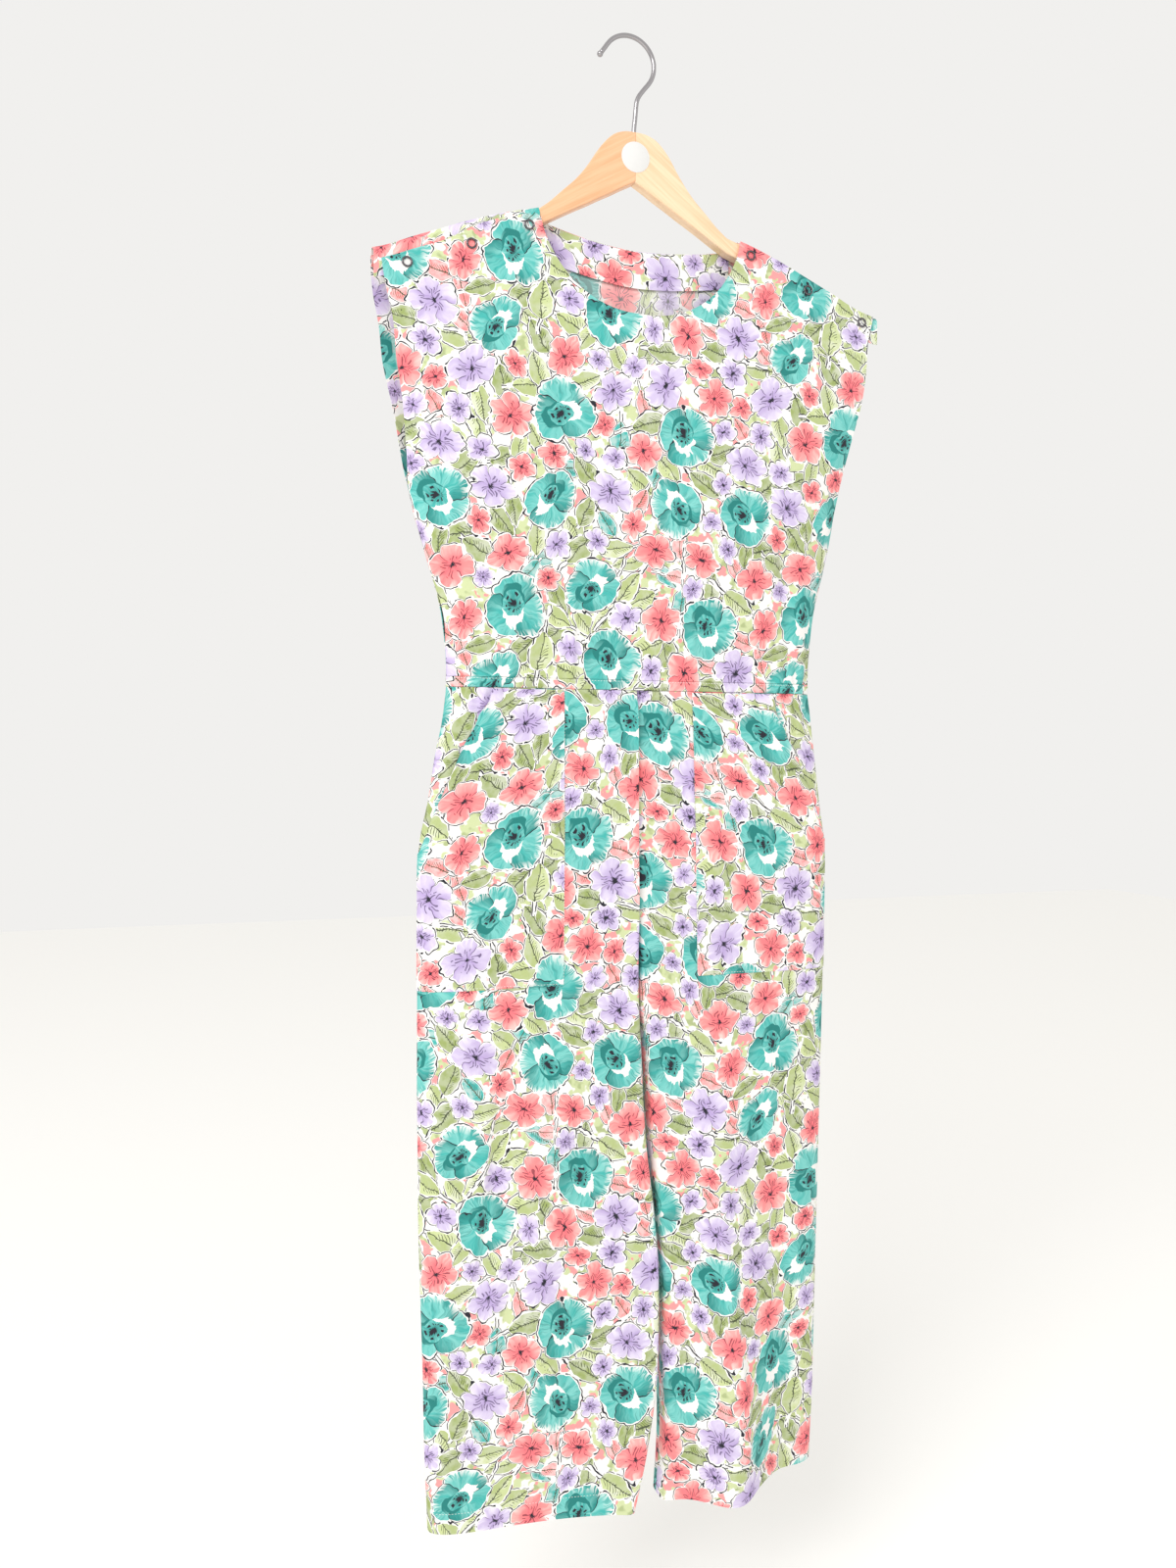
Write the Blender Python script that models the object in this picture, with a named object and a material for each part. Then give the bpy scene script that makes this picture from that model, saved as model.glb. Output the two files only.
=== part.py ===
"""A sleeveless cotton jumpsuit on a wooden hanger, hung from its steel hook.

Every cut piece is a grid of points on the cloth's middle surface, rows from top to bottom and columns
from left to right as its outer side is seen, which is then thickened to both sides. The sections come
from the short tables below, in millimetres. The front faces -Y, and the origin is the highest point
inside the hook, where a peg would carry it.
"""

from collections import namedtuple

import bmesh
import bpy
import numpy as np

MM = 0.001
SEAM_GAP = 0.3
CLOTH = 1.2
FACING = 0.9
LAYER = CLOTH + SEAM_GAP
EDGE_Y = SEAM_GAP / 2

# Where the garment's and the hanger's centre lines lie, right of the hook's seat
GARMENT_X = 14.0
HANGER_X = 6.0
CLOTH_TO_WOOD_X = GARMENT_X - HANGER_X

# Heights
CASING_TOP = -660.0
WAIST = -670.6
CROTCH = -1005.0
FORK_START = -885.0
HEM = -1528.0

# Neck
NECK_HALF = 111.0
FRONT_NECK_LOW = -284.0
FRONT_NECK_POWER = 2.4
BACK_NECK_LOW = -211.5
BACK_NECK_POWER = 1.7
FACING_HEIGHT = 38.0
FACING_HALF = 103.0

# Top of the cloth over the hanger, by distance from the hanger's middle
Shoulder = namedtuple("Shoulder", "away z")
SHOULDER = [
    Shoulder(100, -185.5),
    Shoulder(112, -189),
    Shoulder(134, -195),
    Shoulder(155, -202),
    Shoulder(174, -209),
    Shoulder(202, -220.5),
    Shoulder(230, -232),
    Shoulder(260, -245),
    Shoulder(284, -251.5),
]
# How far the front's edge lies below that line
Drop = namedtuple("Drop", "x fall")
FRONT_DROP = [
    Drop(-275, 14),
    Drop(-215, 15),
    Drop(-170, 8),
    Drop(-112, 7),
    Drop(111, 2),
    Drop(275, 2.5),
]
WRAP_RADIUS = 8.8
WRAP_START = 6.0
WRAP_Y = 0.6
FLAP_LENGTH = 22.0
FRONT_AT_HANGER = 9.9
BACK_AT_HANGER = 9.5
# How far below the hanger the cloth takes its own depth
HANG_FADE = 60.0

# Half widths of the bodice at the top, to either side of its middle
TOP_LEFT = 271.0
TOP_RIGHT = 274.0
TOP_MEAN = (TOP_LEFT + TOP_RIGHT) / 2

# Half widths and depths of the bodice, then of the hips, from the middle surface
Level = namedtuple("Level", "z left right front back")
BODICE = [
    Level(-180, 271, 274, 10, 9.5),
    Level(-250, 271, 274, 12, 10),
    Level(-280, 268, 267, 14, 11),
    Level(-320, 260, 263, 17, 12),
    Level(-352, 257, 258, 18, 13),
    Level(-394, 250, 248, 20, 14),
    Level(-440, 245, 238, 21, 15),
    Level(-485, 240, 231, 21, 15),
    Level(-535, 226, 220, 21, 14.5),
    Level(-585, 211, 208, 20, 14),
    Level(-625, 205, 204, 18, 13),
    Level(-661, 203, 203, 15, 12),
    Level(-672, 203, 203, 15, 12),
]
HIPS = [
    Level(-670, 203, 203, 15, 12),
    Level(-709, 208, 208, 17, 14),
    Level(-741, 214, 213, 18, 15),
    Level(-785, 221, 219, 19, 16),
    Level(-825, 229, 225, 20, 17),
    Level(-864, 231, 227, 20, 17),
    Level(-972, 231, 227, 20, 17),
    Level(-1058, 231, 226, 20, 17),
    Level(-1136, 230, 225, 20, 16),
    Level(-1216, 229, 224, 20, 16),
    Level(-1366, 224, 222, 20, 15),
    Level(-1450, 222, 221, 20, 14),
    Level(-1530, 218, 218, 19, 13),
]
# Free edges of the armholes: how far the front and back ones stand from the middle, and how much
# further out the back one is
Armhole = namedtuple("Armhole", "z front back wider")
ARMHOLES = [
    Armhole(-180, FRONT_AT_HANGER, BACK_AT_HANGER, 6),
    Armhole(-250, FRONT_AT_HANGER, BACK_AT_HANGER, 7),
    Armhole(-290, 13, 14, 8),
    Armhole(-330, 15, 17, 8),
    Armhole(-370, 13, 15, 7),
    Armhole(-410, 9, 10, 5),
    Armhole(-450, 4.5, 5, 3),
    Armhole(-485, EDGE_Y, EDGE_Y, 0),
    Armhole(-672, EDGE_Y, EDGE_Y, 0),
]
ARMHOLE_LOW = -485.0
ARMHOLE_FADE = 40.0
# How square a section turns at its side: closed below the armhole, open beside it, and at the hips
CLOSED_SIDE = 10
OPEN_SIDE = 8
HIP_SIDE = 9

# Inner edges of the two front legs, and how far each leg's inner half curls to the front
Inner = namedtuple("Inner", "z left right left_curl right_curl")
INNER = [
    Inner(-670, -4, 4, 0, 0),
    Inner(-790, -4, 4, 0, 0),
    Inner(-940, -1, 3.5, 0, 0),
    Inner(CROTCH, 2, 3.8, 0, 0),
    Inner(-1030, 3.5, 9, 0, 0),
    Inner(-1075, 6, 13, 0, 0),
    Inner(-1145, 11, 18, 0, 0),
    Inner(-1216, 20, 26, 1, 1),
    Inner(-1292, 26, 32.5, 3, 2),
    Inner(-1366, 25, 33, 7, 4),
    Inner(-1411, 21, 33, 11, 6),
    Inner(-1453, 13, 33, 16, 8),
    Inner(-1490, 4, 31, 21, 10),
    Inner(-1530, -8, 28, 26, 12),
]
PLEAT = 14.0
PLEAT_TURN = 1.0
LEG_TURN = 9.0

# Soft ridges (negative is a trough) of the fronts, with their two ends, as they lie on the middle surface
Fold = namedtuple("Fold", "piece x0 z0 x1 z1 height width")
FOLDS = [
    Fold("bodice", -214, -515, -190, -668, -3.5, 9),
    Fold("bodice", 160, -495, 168, -600, -3.0, 10),
    Fold("bodice", -95, -420, -150, -640, 2.5, 26),
    Fold("bodice", 70, -400, 110, -640, 2.5, 28),
    Fold("left", -140, -940, -146, -1140, -3.0, 12),
    Fold("left", -147, -1140, -199, -1400, -4.0, 14),
    Fold("left", -90, -1060, -120, -1500, 4.0, 26),
    Fold("right", 95, -1100, 108, -1530, 8.0, 30),
    Fold("right", 165, -1180, 176, -1530, -4.0, 16),
]
# Bulge of the right leg's front that opens its hem
BULGE_X = 105.0
BULGE_WIDTH = 42.0
BULGE_HEIGHT = 26.0
BULGE_TOP = -1230.0
BULGE_DROP = 8.0
BULGE_DROP_TOP = -1300.0

# Gathers of the casing, faint in the middle of the front
GATHER_PITCH = 21.0
GATHER_DEPTH = 1.5
GATHER_UNEVEN = 37.0
CALM_MIDDLE = 110.0
CALM_SHARE = 0.15
CASING_WALL = 1.4

# Rows of the trouser panels, and the cells across the level part of each
PANEL_HEIGHTS = np.array(
    [WAIST - SEAM_GAP, -700, -735, -770, -805, -822, -840, FORK_START, -915, -940, -965, -987, CROTCH]
    + [-1035, -1075, -1130, -1190, -1250, -1310, -1370, -1425, -1480, HEM]
)
FLAT_CELLS = 10

# Pockets: bottom, inner edge at top and bottom, and the points of the slanted opening
Pocket = namedtuple("Pocket", "side bottom inner_top inner_bottom opening")
POCKETS = [
    Pocket(-1, -974, 84, 84, [(157, -671), (173, -700), (191, -735), (205, -770), (219, -805), (231, -840)]),
    Pocket(1, -972, 58, 66, [(150, -671), (160, -700), (178, -735), (195, -770), (210, -805), (228, -840)]),
]
# The pocket lies this far from its front, more along the hand opening, which ends at GAPE_END
POCKET_AWAY = LAYER + 0.2
POCKET_GAPE = 1.5
GAPE_END = -850.0

# Hanger
WOOD_THICK = 14.0
WOOD_ROUND = 4.5
WOOD_END = 217.0
Arm = namedtuple("Arm", "away top bottom")
ARM = [
    Arm(0, -96.5, -147.5),
    Arm(12, -97.5, -154),
    Arm(24, -102.5, -161),
    Arm(36, -114.5, -167.5),
    Arm(50, -135.5, -175.5),
    Arm(63, -152, -182.5),
    Arm(79, -167.5, -191.5),
    Arm(92, -180, -199),
    Arm(104, -189.4, -205.5),
]
ARM_DEEP = 18.0
WOOD_UNDER_CLOTH = 3.1
WIRE = 4.8
HOOK_RADIUS = 28.1
# The hook's arc, from its tip's side to its neck, in degrees from the right
HOOK_START = 145.0
HOOK_END = -38.0
TIP_RUN = 14.5
BALL_RADIUS = 3.1
# The stem leans by this much down to STEM_STRAIGHT, just above the wood
STEM_LEAN = 2.3
STEM_STRAIGHT = -94.0
HOOK_SIDES = 8
STEM_X = HANGER_X + 0.5
STEM_BOTTOM = -116.0
STICKER_RADIUS = 15.5
STICKER_Z = -122.5
STICKER_THICK = 0.4

# Ring snaps: the ring's mean radius and its wire
RING_RADIUS = 4.5
RING_WIRE = 0.85
Snap = namedtuple("Snap", "name x z")
SNAPS = [
    Snap("snap_left_1", -123, -208.5),
    Snap("snap_left_2", -182, -235),
    Snap("snap_left_3", -246, -262),
    Snap("snap_right_1", 123, -206.5),
    Snap("snap_right_2", 192, -234.5),
    Snap("snap_right_3", 259, -261.5),
]


def column(table, key, at, along="z"):
    """A smooth curve through one column of a table, held level past its ends.

    It is a cubic Hermite curve whose slope at each row is the mean of the slopes beside it.
    """
    rows = sorted(table, key=lambda row: getattr(row, along))
    x = np.array([getattr(row, along) for row in rows], float)
    y = np.array([getattr(row, key) for row in rows], float)
    secant = np.diff(y) / np.diff(x)
    slope = np.concatenate([secant[:1], (secant[1:] + secant[:-1]) / 2, secant[-1:]])
    slope[1:-1] = np.where(secant[1:] * secant[:-1] > 0, slope[1:-1], 0)
    at = np.clip(np.asarray(at, float), x[0], x[-1])
    i = np.clip(np.searchsorted(x, at) - 1, 0, len(x) - 2)
    step = x[i + 1] - x[i]
    t = (at - x[i]) / step
    return (
        y[i] * (1 + 2 * t) * (1 - t) ** 2
        + slope[i] * step * t * (1 - t) ** 2
        + y[i + 1] * t**2 * (3 - 2 * t)
        + slope[i + 1] * step * t**2 * (t - 1)
    )


def ease(t):
    """A smooth step from 0 to 1."""
    t = np.clip(t, 0, 1)
    return t * t * (3 - 2 * t)


def mix(a, b, t):
    return a + (b - a) * t


def shoulder(x):
    """Height of the cloth's middle surface over the hanger at x, measured from the garment's centre."""
    return column(SHOULDER, "z", np.abs(np.asarray(x) + CLOTH_TO_WOOD_X), "away")


def folds(piece, x, z):
    """Forward push of the folds of one piece: a bell across each fold, fading at both its ends."""
    push = np.zeros(np.broadcast(x, z).shape)
    for fold in FOLDS:
        if fold.piece != piece:
            continue
        run = np.array([fold.x1 - fold.x0, fold.z1 - fold.z0])
        length = np.hypot(*run)
        along = ((x - fold.x0) * run[0] + (z - fold.z0) * run[1]) / length
        across = ((x - fold.x0) * run[1] - (z - fold.z0) * run[0]) / length
        fade = ease((along + 30) / 60)
        if fold.z1 > HEM:
            fade = fade * ease((length + 30 - along) / 60)
        push = push + fold.height * np.exp(-((across / fold.width) ** 2)) * fade
    return push


def oval(share, power):
    """Depth of a flat tube at a share of its half width: level in the middle, round at its side."""
    return np.sqrt(np.clip(1 - np.abs(share) ** power, 0, 1))


def bodice_point(share, z, back):
    """Middle surface of the bodice at a share of its half width, -1 left to 1 right, and a height."""
    edge = column(ARMHOLES, "back" if back else "front", z)
    depth = column(BODICE, "back" if back else "front", z)
    half = np.where(share < 0, column(BODICE, "left", z), column(BODICE, "right", z))
    if back:
        half = half + column(ARMHOLES, "wider", z)
    x = share * half
    at_hanger = BACK_AT_HANGER if back else FRONT_AT_HANGER
    below = shoulder(x) - z
    depth = mix(at_hanger, depth, ease(below / HANG_FADE))
    closed = ease((ARMHOLE_LOW + ARMHOLE_FADE - z) / (2 * ARMHOLE_FADE))
    round_side = oval(share, CLOSED_SIDE)
    free_side = 1 - np.abs(share) ** OPEN_SIDE
    y = edge + (depth - edge) * mix(free_side, round_side, closed)
    if back:
        over = np.clip(WRAP_RADIUS - below, 0, WRAP_RADIUS)
        wrap = WRAP_Y + np.sqrt(WRAP_RADIUS**2 - over**2)
        return x, np.where(below < WRAP_RADIUS, np.minimum(y, wrap), y), z
    return x, -y - folds("bodice", x, z) * (1 - share**6) * ease(below / HANG_FADE), z


def column_shares(shoulder_cells, neck_cells):
    """Columns of the bodice: close together at the sides and at the neck's corners."""
    corner = NECK_HALF / TOP_MEAN
    side = corner + (1 - corner) * np.sin(np.linspace(0, np.pi / 2, shoulder_cells + 1))
    neck = corner * np.sin(np.linspace(-np.pi / 2, np.pi / 2, neck_cells + 1))
    return np.concatenate([-side[:0:-1], neck, side[1:]])


def bodice_grid(back, shoulder_cells=7, neck_cells=10, rows=15):
    """Points of one bodice panel from its top edge down to the casing, and where its columns lie."""
    share = column_shares(shoulder_cells, neck_cells)
    x = share * np.where(share < 0, TOP_LEFT, TOP_RIGHT)
    in_neck = np.clip(np.abs(x) / NECK_HALF, 0, 1)
    if back:
        corner = shoulder(np.sign(x) * NECK_HALF) - WRAP_START
        neck = BACK_NECK_LOW + (corner - BACK_NECK_LOW) * in_neck**BACK_NECK_POWER
        edge = shoulder(x) - WRAP_START
    else:
        fall = column(FRONT_DROP, "fall", x, "x")
        corner = shoulder(np.sign(x) * NECK_HALF) - column(FRONT_DROP, "fall", np.sign(x) * NECK_HALF, "x")
        rise = 1 - (1 - in_neck**FRONT_NECK_POWER) ** (2 / 3)
        neck = FRONT_NECK_LOW + (corner - FRONT_NECK_LOW) * rise
        edge = shoulder(x) - fall
    top = np.where(np.abs(x) < NECK_HALF - 0.01, neck, edge)
    down = np.linspace(0, 1, rows + 1) ** 1.25
    z = top[None, :] + (CASING_TOP - top)[None, :] * down[:, None]
    share = np.broadcast_to(share, z.shape)
    x, y, z = bodice_point(share, z, back)
    grid = np.stack([x, y, z], axis=2)
    return grid[:, ::-1] if back else grid


def wrap_rows(top_row, turn_cells=6, flap_cells=2):
    """Rows that carry the back over the hanger: an arc about the wood's middle, then a straight fall."""
    start = np.arcsin((WRAP_RADIUS - WRAP_START) / WRAP_RADIUS)
    rows = []
    for angle in np.linspace(np.pi, start, turn_cells + 1)[:-1]:
        row = top_row.copy()
        row[:, 1] = WRAP_Y + WRAP_RADIUS * np.cos(angle)
        row[:, 2] = shoulder(top_row[:, 0]) - WRAP_RADIUS * (1 - np.sin(angle))
        rows.append(row)
    falls = []
    for part in range(flap_cells, 0, -1):
        row = rows[0].copy()
        row[:, 2] = row[:, 2] - FLAP_LENGTH * part / flap_cells
        falls.append(row)
    return falls + rows


def normals(grid):
    """Unit normals of a grid of points, on the side from which its columns run left to right."""
    down = np.gradient(grid, axis=0)
    right = np.gradient(grid, axis=1)
    cross = np.cross(down, right)
    return cross / np.maximum(np.linalg.norm(cross, axis=2, keepdims=True), 1e-9)


def wall_normals(grid, square):
    """Normals that stay square to an axis along the listed edges, where the wall turns to that axis."""
    normal = normals(grid)
    for edge, axis in square:
        lean = normal[edge + (axis,)]
        normal[edge + (axis,)] = np.where(np.abs(lean) < 0.8, 0, lean)
    return normal / np.linalg.norm(normal, axis=2, keepdims=True)


def moved_out(grid, distance):
    return grid + normals(grid) * distance


def mesh_object(name, points, faces, material, smooth=True):
    """A named object from points in millimetres."""
    mesh = bpy.data.meshes.new(name)
    mesh.from_pydata([tuple(p * MM) for p in points], [], faces)
    work = bmesh.new()
    work.from_mesh(mesh)
    loose = [v for v in work.verts if not v.link_faces]
    bmesh.ops.delete(work, geom=loose, context="VERTS")
    work.to_mesh(mesh)
    work.free()
    if smooth:
        mesh.shade_smooth()
        mesh.set_sharp_from_angle(angle=np.radians(50))
    mesh.materials.append(material)
    obj = bpy.data.objects.new(name, mesh)
    bpy.context.scene.collection.objects.link(obj)
    return obj


def cloth(name, grid, material, wall=CLOTH, keep=None, square=(), mirrored=False):
    """Thickens a grid into one closed wall.

    keep says which cells are cloth. square lists (edge, axis): where the wall turns to that axis, its rim
    stays square to it, so that the piece beside it stays a seam's gap away. The cells of a mirrored piece
    are split along their other diagonal, as in the piece that it mirrors.
    """
    normal = wall_normals(grid, square)
    rows, columns = grid.shape[:2]
    outer = (grid + normal * wall / 2).reshape(-1, 3)
    inner = (grid - normal * wall / 2).reshape(-1, 3)
    index = np.arange(rows * columns).reshape(rows, columns)
    cells = np.stack([index[:-1, :-1], index[1:, :-1], index[1:, 1:], index[:-1, 1:]], axis=2)
    cells = cells.reshape(-1, 4) if keep is None else cells[keep]
    cells = np.roll(cells, -1, axis=1) if mirrored else cells
    edges = {(int(a), int(b)) for cell in cells for a, b in zip(cell, np.roll(cell, -1))}
    rim = [(a, b) for a, b in sorted(edges) if (b, a) not in edges]
    shift = rows * columns
    faces = [tuple(int(i) for i in cell) for cell in cells]
    faces += [tuple(int(i) + shift for i in cell[[0, 3, 2, 1]]) for cell in cells]
    faces += [(b, a, a + shift, b + shift) for a, b in rim]
    return mesh_object(name, np.concatenate([outer, inner]), faces, material)


TOP = (0, slice(None))
BOTTOM = (-1, slice(None))
START = (slice(None), 0)
END = (slice(None), -1)


def bodice_front(material):
    grid = bodice_grid(back=False)
    return cloth("bodice_front", grid, material, square=[(START, 1), (END, 1), (BOTTOM, 2)])


def bodice_back(material):
    """The back with its two shoulder extensions, which leave the neck's columns out."""
    main = bodice_grid(back=True)
    extra = np.array(wrap_rows(main[0]))
    grid = np.concatenate([extra, main])
    keep = np.ones((grid.shape[0] - 1, grid.shape[1] - 1), bool)
    middle = (main[0, 1:, 0] + main[0, :-1, 0]) / 2
    keep[: len(extra), np.abs(middle) < NECK_HALF] = False
    return cloth("bodice_back", grid, material, keep=keep, square=[(START, 1), (END, 1), (BOTTOM, 2)])


def back_neck_facing(material):
    """A curved strip that lies inside the back from its neckline down."""
    x = np.linspace(-1, 1, 17) * FACING_HALF
    share = x / TOP_MEAN
    corner = shoulder(np.sign(x) * NECK_HALF) - WRAP_START
    edge = BACK_NECK_LOW + (corner - BACK_NECK_LOW) * np.abs(x / NECK_HALF) ** BACK_NECK_POWER - 1
    z = edge[None, :] - np.linspace(0, FACING_HEIGHT, 4)[:, None]
    x, y, z = bodice_point(np.broadcast_to(share, z.shape), z, True)
    grid = moved_out(np.stack([x, y, z], axis=2)[:, ::-1], -(CLOTH + FACING) / 2 - SEAM_GAP)
    return cloth("back_neck_facing", grid, material, wall=FACING)


def casing(back, material):
    """The strip over the waist elastic, its ripples shallow in the middle of the front."""
    rows = np.linspace(CASING_TOP - SEAM_GAP, WAIST + SEAM_GAP / 2, 3)
    turn = np.linspace(-1, 1, 61)
    share = np.sign(turn) * (1 - (1 - np.abs(turn)) ** 1.25)
    share, z = np.meshgrid(share, rows)
    x, y, z = bodice_point(share, z, back)
    ripple = np.sin(2 * np.pi * x / GATHER_PITCH + 1.3 * np.sin(x / GATHER_UNEVEN))
    much = 1.0 if back else mix(CALM_SHARE, 1.0, ease((np.abs(x) - CALM_MIDDLE) / 60))
    fade = 1 - np.abs(share) ** 12
    y = y + GATHER_DEPTH * ripple * much * fade * np.array([0.4, 1.0, 0.6])[:, None]
    grid = np.stack([x, y, z], axis=2)
    grid = grid[:, ::-1] if back else grid
    name = "waist_casing_back" if back else "waist_casing_front"
    square = [(START, 1), (END, 1), (TOP, 2), (BOTTOM, 2)]
    return cloth(name, grid, material, wall=CASING_WALL, square=square)


def fork(z):
    """0 above the crotch, where the two fronts overlap, and 1 where the legs are two tubes."""
    return ease((FORK_START - z) / (FORK_START - CROTCH))


def curl(side, x, z):
    """Forward lean of a leg's inner half, growing to its inner edge."""
    key = "left" if side < 0 else "right"
    inner = column(INNER, key, z)
    outer = side * column(HIPS, key, z)
    across = np.clip((x - outer) / (inner - outer), 0, 1)
    return column(INNER, key + "_curl", z) * across**3


def bulge(x, z):
    """Forward bulge of the right leg towards its hem."""
    bell = np.exp(-(((x - BULGE_X) / BULGE_WIDTH) ** 2))
    return BULGE_HEIGHT * bell * ease((BULGE_TOP - z) / (BULGE_TOP - HEM)) ** 1.3


def front_depth(side, x, z):
    """Y of a trouser front's middle surface away from its rounded edges."""
    y = -column(HIPS, "front", z) - folds("left" if side < 0 else "right", x, z) - curl(side, x, z)
    if side > 0:
        y = y - bulge(x, z)
        under = 1 - ease((x - column(INNER, "left", z)) / 45)
        y = y + 2 * LAYER * under * (1 - fork(z))
    return y


def hem_drop(side, x, z):
    """How much lower the right leg's bulge hangs, all of it near the hem."""
    if side < 0:
        return 0 * z
    bell = np.exp(-(((x - BULGE_X) / BULGE_WIDTH) ** 2))
    return BULGE_DROP * bell * ease((BULGE_DROP_TOP - z) / (BULGE_DROP_TOP - HEM))


def bezier(a, b, c, d, cells):
    """Points of a cubic curve from a to d, without a; each end is an (x, y) pair of arrays."""
    points = []
    for t in np.linspace(0, 1, cells + 1)[1:]:
        weights = (1 - t) ** 3, 3 * t * (1 - t) ** 2, 3 * t**2 * (1 - t), t**3
        points.append(tuple(sum(w * p[k] for w, p in zip(weights, (a, b, c, d))) for k in (0, 1)))
    return points


def side_shares(cells):
    """Shares of the way from a leg's inner turn to its side seam, close together at the seam."""
    s = np.linspace(0, 1, cells + 1)
    return 1 - mix(s**2.4, s, 0.25)


def as_grid(section, z):
    """Rows by height, columns by point, from a section's list of (x, y) arrays."""
    return np.array([[p[0] + 0 * z, p[1] + 0 * z, z] for p in section]).transpose(2, 0, 1)


def flat_part(side, z, start_x, depth, seam_y, cells):
    """The level part of a section, from its side seam to start_x, where its inner turn begins."""
    half = column(HIPS, "left" if side < 0 else "right", z)
    points = []
    for share in side_shares(cells):
        x = mix(start_x, side * half, share)
        points.append((x, mix(seam_y, depth(x), oval(np.clip(x * side / half, 0, 1), HIP_SIDE))))
    return points


def pleat_points(z):
    """Where the left front's return bends back and where it ends, as (x, y) arrays."""
    split = fork(z)
    fold_x = column(INNER, "left", z)
    fold_y = front_depth(-1, fold_x - PLEAT_TURN, z)
    seam_y = -EDGE_Y - curl(-1, fold_x, z)
    bend = mix(fold_x - 1.5, fold_x, split), mix(fold_y + LAYER, mix(fold_y, seam_y, 0.6), split)
    end = mix(fold_x - PLEAT, fold_x, split), mix(fold_y + LAYER, seam_y, split)
    return bend, end


def turn_start(side, z):
    """Where a front stops being level and its inner turn begins."""
    split = fork(z)
    fold_x = column(INNER, "left", z)
    if side < 0:
        return fold_x - mix(PLEAT_TURN, LEG_TURN, split)
    inner_x = np.where(z < CROTCH, column(INNER, "right", z), fold_x + LAYER)
    return mix(fold_x + 5.0, inner_x + LEG_TURN, split)


def front_section(side, z, cells, turn_cells):
    """One trouser front's section at each height: side seam, flat front, then its inner turn and end.

    Above the crotch the left front folds under in a flat pleat and the right one starts beneath it. Below,
    both turn round the leg's inner edge to the inseam. Between, the turn goes over from one to the other,
    and the right front's stays beside the left one's, a layer's distance or more away.
    """
    split = fork(z)
    fold_x = column(INNER, "left", z)
    start_x = turn_start(side, z)
    start_y = front_depth(side, start_x, z)
    bend, end = pleat_points(z)
    if side < 0:
        reach = mix(1.4, LEG_TURN * 0.75, split)
        handle = mix(bend[0] + 1.6, bend[0], split)
    else:
        inner_x = np.where(z < CROTCH, column(INNER, "right", z), fold_x + LAYER)
        apart = LAYER * (1 + 1.6 * np.sin(np.pi * split))
        lead, hang = apart * np.sin(split * np.pi / 2), apart * np.cos(split * np.pi / 2)
        seam_y = -EDGE_Y - curl(side, inner_x, z)
        below = z < CROTCH
        bend = (
            np.where(below, inner_x, bend[0] + lead),
            np.where(below, mix(start_y, seam_y, 0.6), bend[1] + hang),
        )
        end = np.where(below, inner_x, end[0] + lead), np.where(below, seam_y, end[1] + hang)
        reach = mix(2.0, LEG_TURN * 0.75, split)
        handle = mix(bend[0] + 2.0, bend[0], split)
    handle_a = (start_x - side * reach, start_y)
    handle_b = (handle, mix(bend[1], mix(start_y, bend[1], 0.35), split))
    section = flat_part(side, z, start_x, lambda x: front_depth(side, x, z), -EDGE_Y, cells)
    section += bezier((start_x, start_y), handle_a, handle_b, bend, turn_cells) + [end]
    grid = as_grid(section, z)
    grid = grid if side < 0 else grid[:, ::-1]
    grid[:, :, 2] -= hem_drop(side, grid[:, :, 0], grid[:, :, 2])
    return grid


def back_section(side, z, cells, turn_cells):
    """One trouser back's section at each height: side seam, flat back, then the back seam or the inseam."""
    split = fork(z)
    fold_x = column(INNER, "left", z)
    inner_x = np.where(z < CROTCH, column(INNER, "left" if side < 0 else "right", z), fold_x + LAYER / 2)
    lead = EDGE_Y + (LAYER / 2 - EDGE_Y) * np.sin(split * np.pi / 2) + 0.7 * np.sin(split * np.pi)
    end_x = np.where(z < CROTCH, inner_x, mix(0 * z, fold_x + LAYER / 2, split) + side * lead)
    back_y = column(HIPS, "back", z)
    turn = mix(3.0, LEG_TURN, split)
    start_x = end_x + side * turn
    start_y = back_y - curl(side, start_x, z)
    end_y = mix(back_y, EDGE_Y - curl(side, inner_x, z), split)
    handle_a = (start_x - side * turn * 0.8, start_y)
    handle_b = (mix(end_x + side, end_x, split), mix(start_y, mix(start_y, end_y, 0.3), split))
    section = flat_part(side, z, start_x, lambda x: back_y - curl(side, x, z), EDGE_Y, cells)
    section += bezier((start_x, start_y), handle_a, handle_b, (end_x, end_y), turn_cells)
    grid = as_grid(section, z)
    return grid[:, ::-1] if side < 0 else grid


def trouser_fronts(material):
    made = []
    for side, name in ((-1, "trouser_front_left"), (1, "trouser_front_right")):
        grid = front_section(side, PANEL_HEIGHTS, FLAT_CELLS, 4)
        square = [(START, 1), (END, 1), (TOP, 2)]
        made.append(cloth(name, grid, material, square=square, mirrored=side > 0))
    return made


def trouser_backs(material):
    made = []
    for side, name in ((-1, "trouser_back_left"), (1, "trouser_back_right")):
        grid = back_section(side, PANEL_HEIGHTS, FLAT_CELLS, 3)
        made.append(cloth(name, grid, material, square=[(START, 1), (END, 1), (TOP, 2)]))
    return made


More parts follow.
